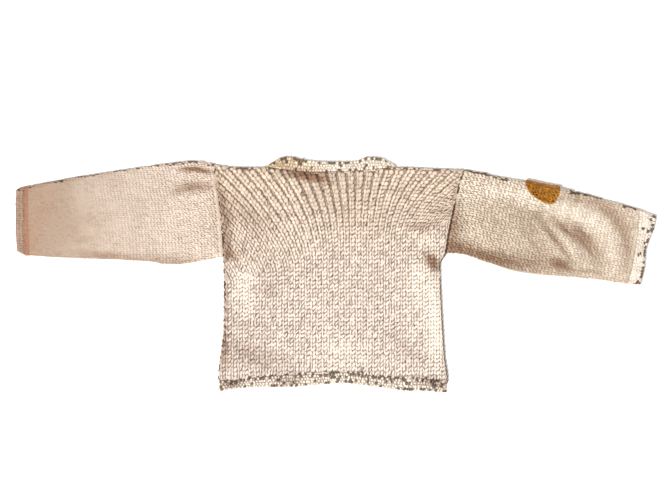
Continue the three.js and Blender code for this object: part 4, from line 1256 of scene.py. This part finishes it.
# %% Edges and seams of the front
SEAM_INSET = 1.3
SIDE_INSETS = (0.6, 2.0)  # two lines of stitches run up each side
RIGHT_SEAM_SHADE = 0.95  # painted shade makes the right armhole's seam a dark line, the left one's is left light
RIGHT_SEAM_OPENS = 96  # from this height up only a share of its stitches gets that painted shade
RIGHT_SEAM_SHARE = 0.62
RIGHT_SEAM_TOP = 138
EDGE_HOLLOW = 0.1
# The share of each edge's stitches that is painted dark with shade, which draws a thin dark line
# along the edge. Where two edges meet, the first counts.
EDGE_SHADE_SHARES = {"hem": 0.5, "left armhole": 0.45, "left side": 0.3, "top": 0.4,
               "right armhole": 0.4, "right side": 0.85}


def in_seam_shade(y):
    """True for the stitches of the right armhole's seam that get painted shade, dark as a deep
    seam.
    """
    return (y < RIGHT_SEAM_OPENS) | (rng.random(len(y)) < RIGHT_SEAM_SHARE)


flat_front = Cloth(lambda x, y: np.stack([x, y, front_height(x, y)], -1), DIRECTION_STEP,
                   DIRECTION_STEP)
up_left, up_right = np.linspace(-140, 149, 300), np.linspace(-144, 140, 300)
over_top, over_hem = np.linspace(-166, 171, 340), np.linspace(-156, 145, 300)
front_edges = joined(
    *[chain(flat_front, left_side(up_left) + inset, up_left) for inset in SIDE_INSETS],
    *[chain(flat_front, right_side(up_right) - inset, up_right) for inset in SIDE_INSETS],
    chain(flat_front, over_top, top_edge(over_top) - SEAM_INSET),
    chain(flat_front, over_hem, hem_seam(over_hem) + SEAM_INSET))
x, y, _ = front_edges[0].T
over_arm = y > UNDERARM_Y
at_left, at_right = x - left_side(y) < EDGE_CLEAR, right_side(y) - x < SEAM_INSET
edges_in_turn = [y - hem_seam(x) < EDGE_CLEAR, at_left & over_arm, at_left,
                 top_edge(x) - y < EDGE_CLEAR, at_right & over_arm, at_right]
shade_share = np.select(edges_in_turn, list(EDGE_SHADE_SHARES.values()), 0.0)
in_right_seam = at_right & over_arm & (y < RIGHT_SEAM_TOP)
hollow = np.where(in_right_seam & in_seam_shade(y), RIGHT_SEAM_SHADE, EDGE_HOLLOW)
hollow = np.maximum(hollow, shade_at_random(shade_share))
lay_yarn("front", "edge_stitches", front_edges, hollow, worn_at["body"](x, y), cream_wool)

# %% Stitches over a tube
FOLD_REACH = 5.0  # how far the stitches go on round a folded edge
PAST_FOLD, PAST_FOLD_SHADED = 1, 0.6  # past the upper fold by this, that share of them is painted dark with shade
LAID_DEPTH = 0.9  # of the stitches' middles under the cloth's face
SHARE_STEP = 0.004  # of a tube's length, for measuring directions
END_CLEAR = 1.6
ARMHOLE_CHAINS, CUFF_CHAINS = (0.9, 2.6), (0.4, 2.6, 4.8)  # from the armhole and from the cuff
OPEN_SEAM_HOLLOW = 0.05  # a seam that lies open is hardly darker than the cloth


def cloth_of(tube):
    """A tube as a cloth, by the distance round it and the share of its length."""
    return Cloth(lambda girth, s: tube_at(tube, np.clip(s, 0, 1), girth, LAID_DEPTH),
                 DIRECTION_STEP, SHARE_STEP)


def half_turn(tube, s):
    """How far the stitches reach to each side of the middle of a tube's upper layer."""
    return tube_width(tube, s) / 2 - MIDDLE + FOLD_REACH


def tube_stitches(tube, knit):
    """Places of the stitches on a tube's upper layer and round both of its folded edges."""
    cloth = cloth_of(tube)
    widest = half_turn(tube, np.linspace(0, 1, 50)).max()
    count = int(widest // knit.wale) + 1
    wales = (np.arange(-count, count) + 0.5) * knit.wale
    margin = END_CLEAR / tube["length"]
    a, b = wales_on(cloth, wales, np.linspace(margin, 1 - margin, 260), knit.course)
    inside = np.abs(a) < half_turn(tube, b)
    return a[inside], b[inside]


def edge_chains(tube, stations):
    """Seam stitches across a tube, over its upper layer and both folded edges."""
    chains = []
    for s in stations:
        reach = float(half_turn(tube, np.array(s)))
        girth = np.linspace(-reach, reach, 240)
        chains.append(chain(cloth_of(tube), girth, np.full(len(girth), s)))
    return joined(*chains)


print("the stitches go", FOLD_REACH, "mm round a folded edge")

# %% What the patch covers
PATCH = [(0, 6.0, 7.0), (5, 12.6, 12.0), (14, 19.6, 15.0), (30, 24.6, 15.5), (40, 23.4, 11.0),
         (45.5, 11.0, 6.0)]  # place along the patch, its reach over the sleeve and under it
patch_over, patch_under = column(PATCH, 1), column(PATCH, 2)
PATCH_COVER = 3.5  # the sleeve's stitches stop this far inside the patch's edge


def under_patch(tube, girth, s):
    """True where the patch covers the right sleeve."""
    past_fold = tube_width(tube, s) / 2 - MIDDLE + MIDDLE * QUARTER - girth
    along = tube["plan"](s, 1.0)[..., 0] - PATCH_START
    on_length = (along > PATCH_COVER) & (along < PATCH_LENGTH - PATCH_COVER)
    return on_length & (past_fold < patch_over(along) - PATCH_COVER)


print("the patch covers up to", round(float(patch_over(30)), 1), "mm of the sleeve's front")

# %% Stitches of the sleeves and the left cuff
for name in ("sleeve_left", "sleeve_right", "cuff_left"):
    tube, knit = tubes[name], KNITS[name]
    a, b = tube_stitches(tube, knit)
    if name == "sleeve_right":
        open_to_view = ~under_patch(tube, a, b)
        a, b = a[open_to_view], b[open_to_view]
    stitches = legs(cloth_of(tube), a, b, knit, felted=tube["felted"](b))
    worn = tube["worn"](*stitches[0].T[:2])
    # stitches past the upper fold get painted shade, a thin dark line along the far edge
    shaded_past_fold = np.tile(a > half_turn(tube, b) - FOLD_REACH + PAST_FOLD, 2)
    lay_yarn(name, "stitches", stitches, shade_at_random(PAST_FOLD_SHADED * shaded_past_fold), worn,
             WOOLS[name])

# %% Seams of the sleeves
for name in ("sleeve_left", "sleeve_right"):
    tube = tubes[name]
    seam = edge_chains(tube, [distance / SLEEVE_LENGTH for distance in ARMHOLE_CHAINS])
    seam_x, seam_y, _ = seam[0].T
    worn = tube["worn"](seam_x, seam_y)
    seam_in_shade = ((name == "sleeve_right") & (seam_x - right_side(seam_y) < SEAM_INSET + GAP)
                 & in_seam_shade(seam_y))
    # painted shade along the right armhole's seam
    hollow = np.where(seam_in_shade, RIGHT_SEAM_SHADE, OPEN_SEAM_HOLLOW)
    lay_yarn(name, "armhole_stitches", seam, hollow, worn, WOOLS[name])
    near_cuff = edge_chains(tube, [1 - distance / SLEEVE_LENGTH for distance in CUFF_CHAINS])
    worn = tube["worn"](*near_cuff[0].T[:2])
    lay_yarn(name, "cuff_seam_stitches", near_cuff, np.full(len(worn), OPEN_SEAM_HOLLOW), worn,
             russet_wool if name == "sleeve_left" else WOOLS[name])

# %% Garter bumps of the bands
GARTERS = {  # distance between bumps, share of it that a bump fills, and for each row of bumps, from the seam to the free edge, the share that is painted dark with shade
    # bumps, from the seam to the free edge, the share that lies deep and dark
    "cuff_right": (4.0, 1.15, (0.0, 0.02, 0.04, 0.16, 0.5)),
    "neckband": (3.9, 1.02, (0.2, 0.07, 0.10, 0.4)),
    "hem_band": (3.9, 0.96, (0.45, 0.22, 0.17, 0.3)),
}
BUMP_WIDTHS, BUMP_LENGTHS = (0.7, 1.1), (0.9, 1.35)  # they vary between these shares
BUMP_HEIGHTS = (2.0, 2.8)
BUMP_SPREAD, BUMP_ASTRAY, BUMP_RISE = 0.6, 0.3, 0.3
BUMP_LEAN, BUMP_TURN = 0.1, 0.4
LEAST_DEPTH = 2.0


def garter_bumps(tube, pitch, cover, shade_shares):
    """Rows of upright bumps along a band. Every second row is set off by half a bump."""
    cloth = cloth_of(tube)
    rows = len(shade_shares)
    parts, depths = [], []
    for row, shade_share in enumerate(shade_shares):
        s = (row + 0.5) / rows
        felted = float(tube["felted"](np.array(s)))
        reach = float(half_turn(tube, np.array(s)))
        girth = np.arange(-reach, reach, pitch) + (row % 2) * pitch / 2
        girth = girth + rng.normal(0, BUMP_SPREAD, len(girth))
        across, along, up, _ = directions(cloth, girth, np.full(len(girth), s))
        angle = rng.normal(BUMP_LEAN, BUMP_TURN, len(girth))[:, None]
        direction = np.cos(angle) * along + np.sin(angle) * across
        local = np.interp(girth, *band_depths(tube)) / rows
        middle = cloth.at(girth, np.full(len(girth), s)) + up * BUMP_RISE * (1 - felted)
        wide = pitch * cover * (1 + FELT_WIDER * felted)
        sizes = np.stack([wide * rng.uniform(*BUMP_WIDTHS, len(girth)),
                          local * rng.uniform(*BUMP_LENGTHS, len(girth)),
                          (1 - FELT_LOWER * felted) * rng.uniform(*BUMP_HEIGHTS, len(girth))], -1)
        middle += rng.normal(0, BUMP_ASTRAY, middle.shape)
        middle[:, 2] = np.maximum(middle[:, 2], sizes[:, 0] / 2)  # no bump sinks into the table
        parts.append(laid_along(middle, direction, up, sizes))
        depths.append(shade_at_random(np.full(len(girth), shade_share)))
    return joined(*parts), np.concatenate(depths)


def band_depths(tube):
    """The depth of a band at places along it."""
    w = np.linspace(0, 1, 60)
    width = tube_width(tube, np.array(0.5))
    depth = np.linalg.norm(tube["plan"](1.0, w) - tube["plan"](0.0, w), axis=-1)
    return (w - 0.5) * width, np.maximum(depth, LEAST_DEPTH)


for name, (pitch, cover, shade_shares) in GARTERS.items():
    bumps, painted_dark = garter_bumps(tubes[name], pitch, cover, shade_shares)
    lay_yarn(name, "garter_bumps", bumps, painted_dark, tubes[name]["worn"](*bumps[0].T[:2]),
             WOOLS[name])

# %% [markdown]
# ## The elbow patch
# A small ochre square of knitting was sewn over the fold of the right sleeve, partly over it and
# partly under it. It is the sleeve's own surface, moved out, so it turns round the fold with it.
# Stitches over its edge hold it on.

# %% Patch
PATCH_FACE = -PATCH_GAP - PATCH_WALL  # its outer face, as a depth of the sleeve
PATCH_SUNK, PATCH_SUNK_FADE = 0.7, 3  # the shell lies deeper under the patch's stitches
PATCH_HOLLOW, PATCH_HOLLOW_FADE = 0.95, 9
PATCH_WALES, PATCH_STITCH_DEPTH = 6, 0.5
PATCH_CLEAR = 1.6
PATCH_FOLD_SHADE, PATCH_FOLD_SHADE_FADE = 0.45, (3, 12)  # painted shade darkens it along the fold


def on_patch(distance, along, depth):
    """A place on the patch by its distance round the sleeve's fold and its place along it."""
    tube = tubes["sleeve_right"]
    stations = np.linspace(0.2, 0.8, 400)
    s = np.interp(PATCH_START + along, tube["plan"](stations, 1.0)[:, 0], stations)
    past_fold = tube_width(tube, s) / 2 - MIDDLE + MIDDLE * QUARTER
    return tube_at(tube, s, past_fold - distance, depth)


def patch_shell(rows=30, columns=34):
    """A thin closed shell that turns round the sleeve's fold."""
    along = np.linspace(0, PATCH_LENGTH, rows)[:, None] * np.ones((1, columns))
    share = np.linspace(0, 1, columns) * np.ones((rows, 1))
    distance = -patch_under(along) + share * (patch_over(along) + patch_under(along))
    covered = np.clip(distance / PATCH_SUNK_FADE, 0, 1)
    outer = on_patch(distance, along, PATCH_FACE + PATCH_SUNK * covered).reshape(-1, 3)
    inner = on_patch(distance, along, -PATCH_GAP).reshape(-1, 3)
    rim = grid_rim(rows, columns)
    count = rows * columns
    faces = [grid_faces(rows, columns), grid_faces(rows, columns)[:, ::-1] + count,
             strip_faces(rim, rim + count)]
    painted_dark = PATCH_HOLLOW * np.clip(distance / PATCH_HOLLOW_FADE, 0, 1)
    hollow = np.concatenate([painted_dark.ravel(), np.zeros(count)])
    return make_mesh("elbow_patch_cloth", np.concatenate([outer, inner]), faces, ochre_wool,
                     hollow=hollow, worn=np.zeros(2 * count))


shells["elbow_patch"] = patch_shell()
yarn_pieces["elbow_patch"] = []
patch_cloth = Cloth(
    lambda distance, along: on_patch(distance, along, PATCH_FACE + PATCH_STITCH_DEPTH), 0.3, 0.3)
knit = KNITS["elbow_patch"]
wales = (np.arange(PATCH_WALES) + 0.3) * knit.wale
a, b = wales_on(patch_cloth, wales, np.linspace(0.5, PATCH_LENGTH - 0.5, 120), knit.course)
stitches = legs(patch_cloth, a, b, knit)
in_view = np.tile(a < patch_over(b) - PATCH_CLEAR, 2) & (stitches[0][:, 2] > MIDDLE)
stitches, from_fold = kept(stitches, in_view), np.tile(a, 2)[in_view]
# painted shade along the patch's fold
worn = PATCH_FOLD_SHADE * (1 - smoothstep(from_fold, *PATCH_FOLD_SHADE_FADE))
lay_yarn("elbow_patch", "stitches", stitches, 0 * worn, worn, ochre_wool)

# %% Stitches that hold the patch
HOLD_INSET = 0.8
HOLD_STITCH, HOLD_YARN, HOLD_LEAN = 2.6, 1.7, 0.75
HOLD_HOLLOW = 0.1
first, last = HOLD_INSET, PATCH_LENGTH - HOLD_INSET
long_edge = np.linspace(first, last, 90)
rim_along = np.concatenate([np.full(20, first), long_edge, np.full(20, last)])
rim_out = np.concatenate([np.linspace(0, patch_over(first), 20), patch_over(long_edge),
                          np.linspace(patch_over(last), 0, 20)]) - HOLD_INSET
holding = chain(patch_cloth, rim_out, rim_along, HOLD_STITCH, HOLD_YARN, HOLD_LEAN)
count = len(holding[0])
lay_yarn("elbow_patch", "holding_stitches", holding, np.full(count, HOLD_HOLLOW),
         np.zeros(count), ochre_wool)

# %% [markdown]
# ## Loose fibres
# Woollen yarn sheds: short fibres stand off the surface and blur every edge. Fine spindles,
# scattered over the stitches and tilted up a little, give that halo.

# %% Fuzz
FIBRE_THICK, FIBRE_LONG, FIBRE_LONGS = 0.17, 5.5, (0.5, 1.2)
FIBRE_SPREAD, FIBRE_RISE, FIBRE_LOWEST = 0.8, 0.6, 1.5
FIBRE_CLIMB = (0.02, 0.5)
FIBRE_PALE = -0.4
ROOT_STEP = 20


def fuzz(owner, points, count, material):
    """Short fibres that start at stitches picked at random."""
    rooted = points[rng.integers(0, len(points), count)]
    rooted = rooted + rng.normal(0, FIBRE_SPREAD, (count, 3))
    rooted[:, 2] = np.maximum(rooted[:, 2] + FIBRE_RISE, FIBRE_LOWEST)
    heading = rng.uniform(0, 2 * np.pi, count)
    climb = rng.uniform(*FIBRE_CLIMB, count)
    direction = unit(np.stack([np.cos(heading), np.sin(heading), climb], -1))
    side = unit(np.cross(direction, [0, 0, 1.0]))
    up = np.cross(side, direction)
    sizes = np.stack([np.full(count, FIBRE_THICK), FIBRE_LONG * rng.uniform(*FIBRE_LONGS, count),
                      np.full(count, FIBRE_THICK)], -1)
    lay_yarn(owner, "loose_fibres", laid_along(rooted, direction, up, sizes), np.zeros(count),
             np.full(count, FIBRE_PALE), material, around=3, along=3)


def stitch_points(owner):
    """Places spread over an owner's stitches, in the tables' millimetres."""
    mesh = yarn_pieces[owner][0].data
    flat = np.empty(len(mesh.vertices) * 3, np.float32)
    mesh.vertices.foreach_get("co", flat)
    return flat.reshape(-1, 3)[::ROOT_STEP] / MM - body_shift


FUZZ = {"front": 2600, "sleeve_left": 1300, "sleeve_right": 1200, "hem_band": 420,
        "neckband": 320, "cuff_left": 160, "cuff_right": 200, "elbow_patch": 70}
for name, count in FUZZ.items():
    fuzz(name, stitch_points(name), count, WOOLS[name])

# %% [markdown]
# ## Put the pieces in the frame
# Every piece rides on the sweater's one body, because cloth has no joints. A shell stands for its
# solid, and the size of the cloth that it was knitted to is printed, all round for a tube.

# %% Ride, replace and print the sizes
SHARES = np.linspace(0, 1, 60)


def flat_size(name):
    """The cut of a piece: its width, its length and its area, in millimetres."""
    if name in ("front", "back"):
        x, y = panel_grid(PLAN_GRID, PLAN_GRID)
        wide, height = x[:, -1] - x[:, 0], y.mean(1)
        area = np.sum((wide[1:] + wide[:-1]) / 2 * np.diff(height))
        return x.max() - x.min(), y.max() - y.min(), area
    if name == "elbow_patch":
        along = PATCH_LENGTH * SHARES
        reach = patch_over(along) + patch_under(along)
        return reach.max(), PATCH_LENGTH, reach.mean() * PATCH_LENGTH
    tube = tubes[name]
    width = tube_width(tube, SHARES)
    wales = [tube["plan"](SHARES, w) for w in np.linspace(0, 1, 21)]
    lengths = [np.linalg.norm(np.diff(wale, axis=0), axis=-1).sum() for wale in wales]
    return 2 * width.max(), max(lengths), 2 * width.mean() * np.mean(lengths)


for name, shell in shells.items():
    for piece in [shell, *yarn_pieces[name]]:
        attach(piece, "root")
    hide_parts(name)
    width, length, area = [float(value) for value in flat_size(name)]
    print(name, "cut", round(width), "x", round(length), "mm, area", round(area / 100), "cm2")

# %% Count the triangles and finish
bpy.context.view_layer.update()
triangles = {o.name: sum(len(p.vertices) - 2 for p in o.data.polygons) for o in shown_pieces()}
print("largest", max(triangles.values()), "triangles; in all", sum(triangles.values()))
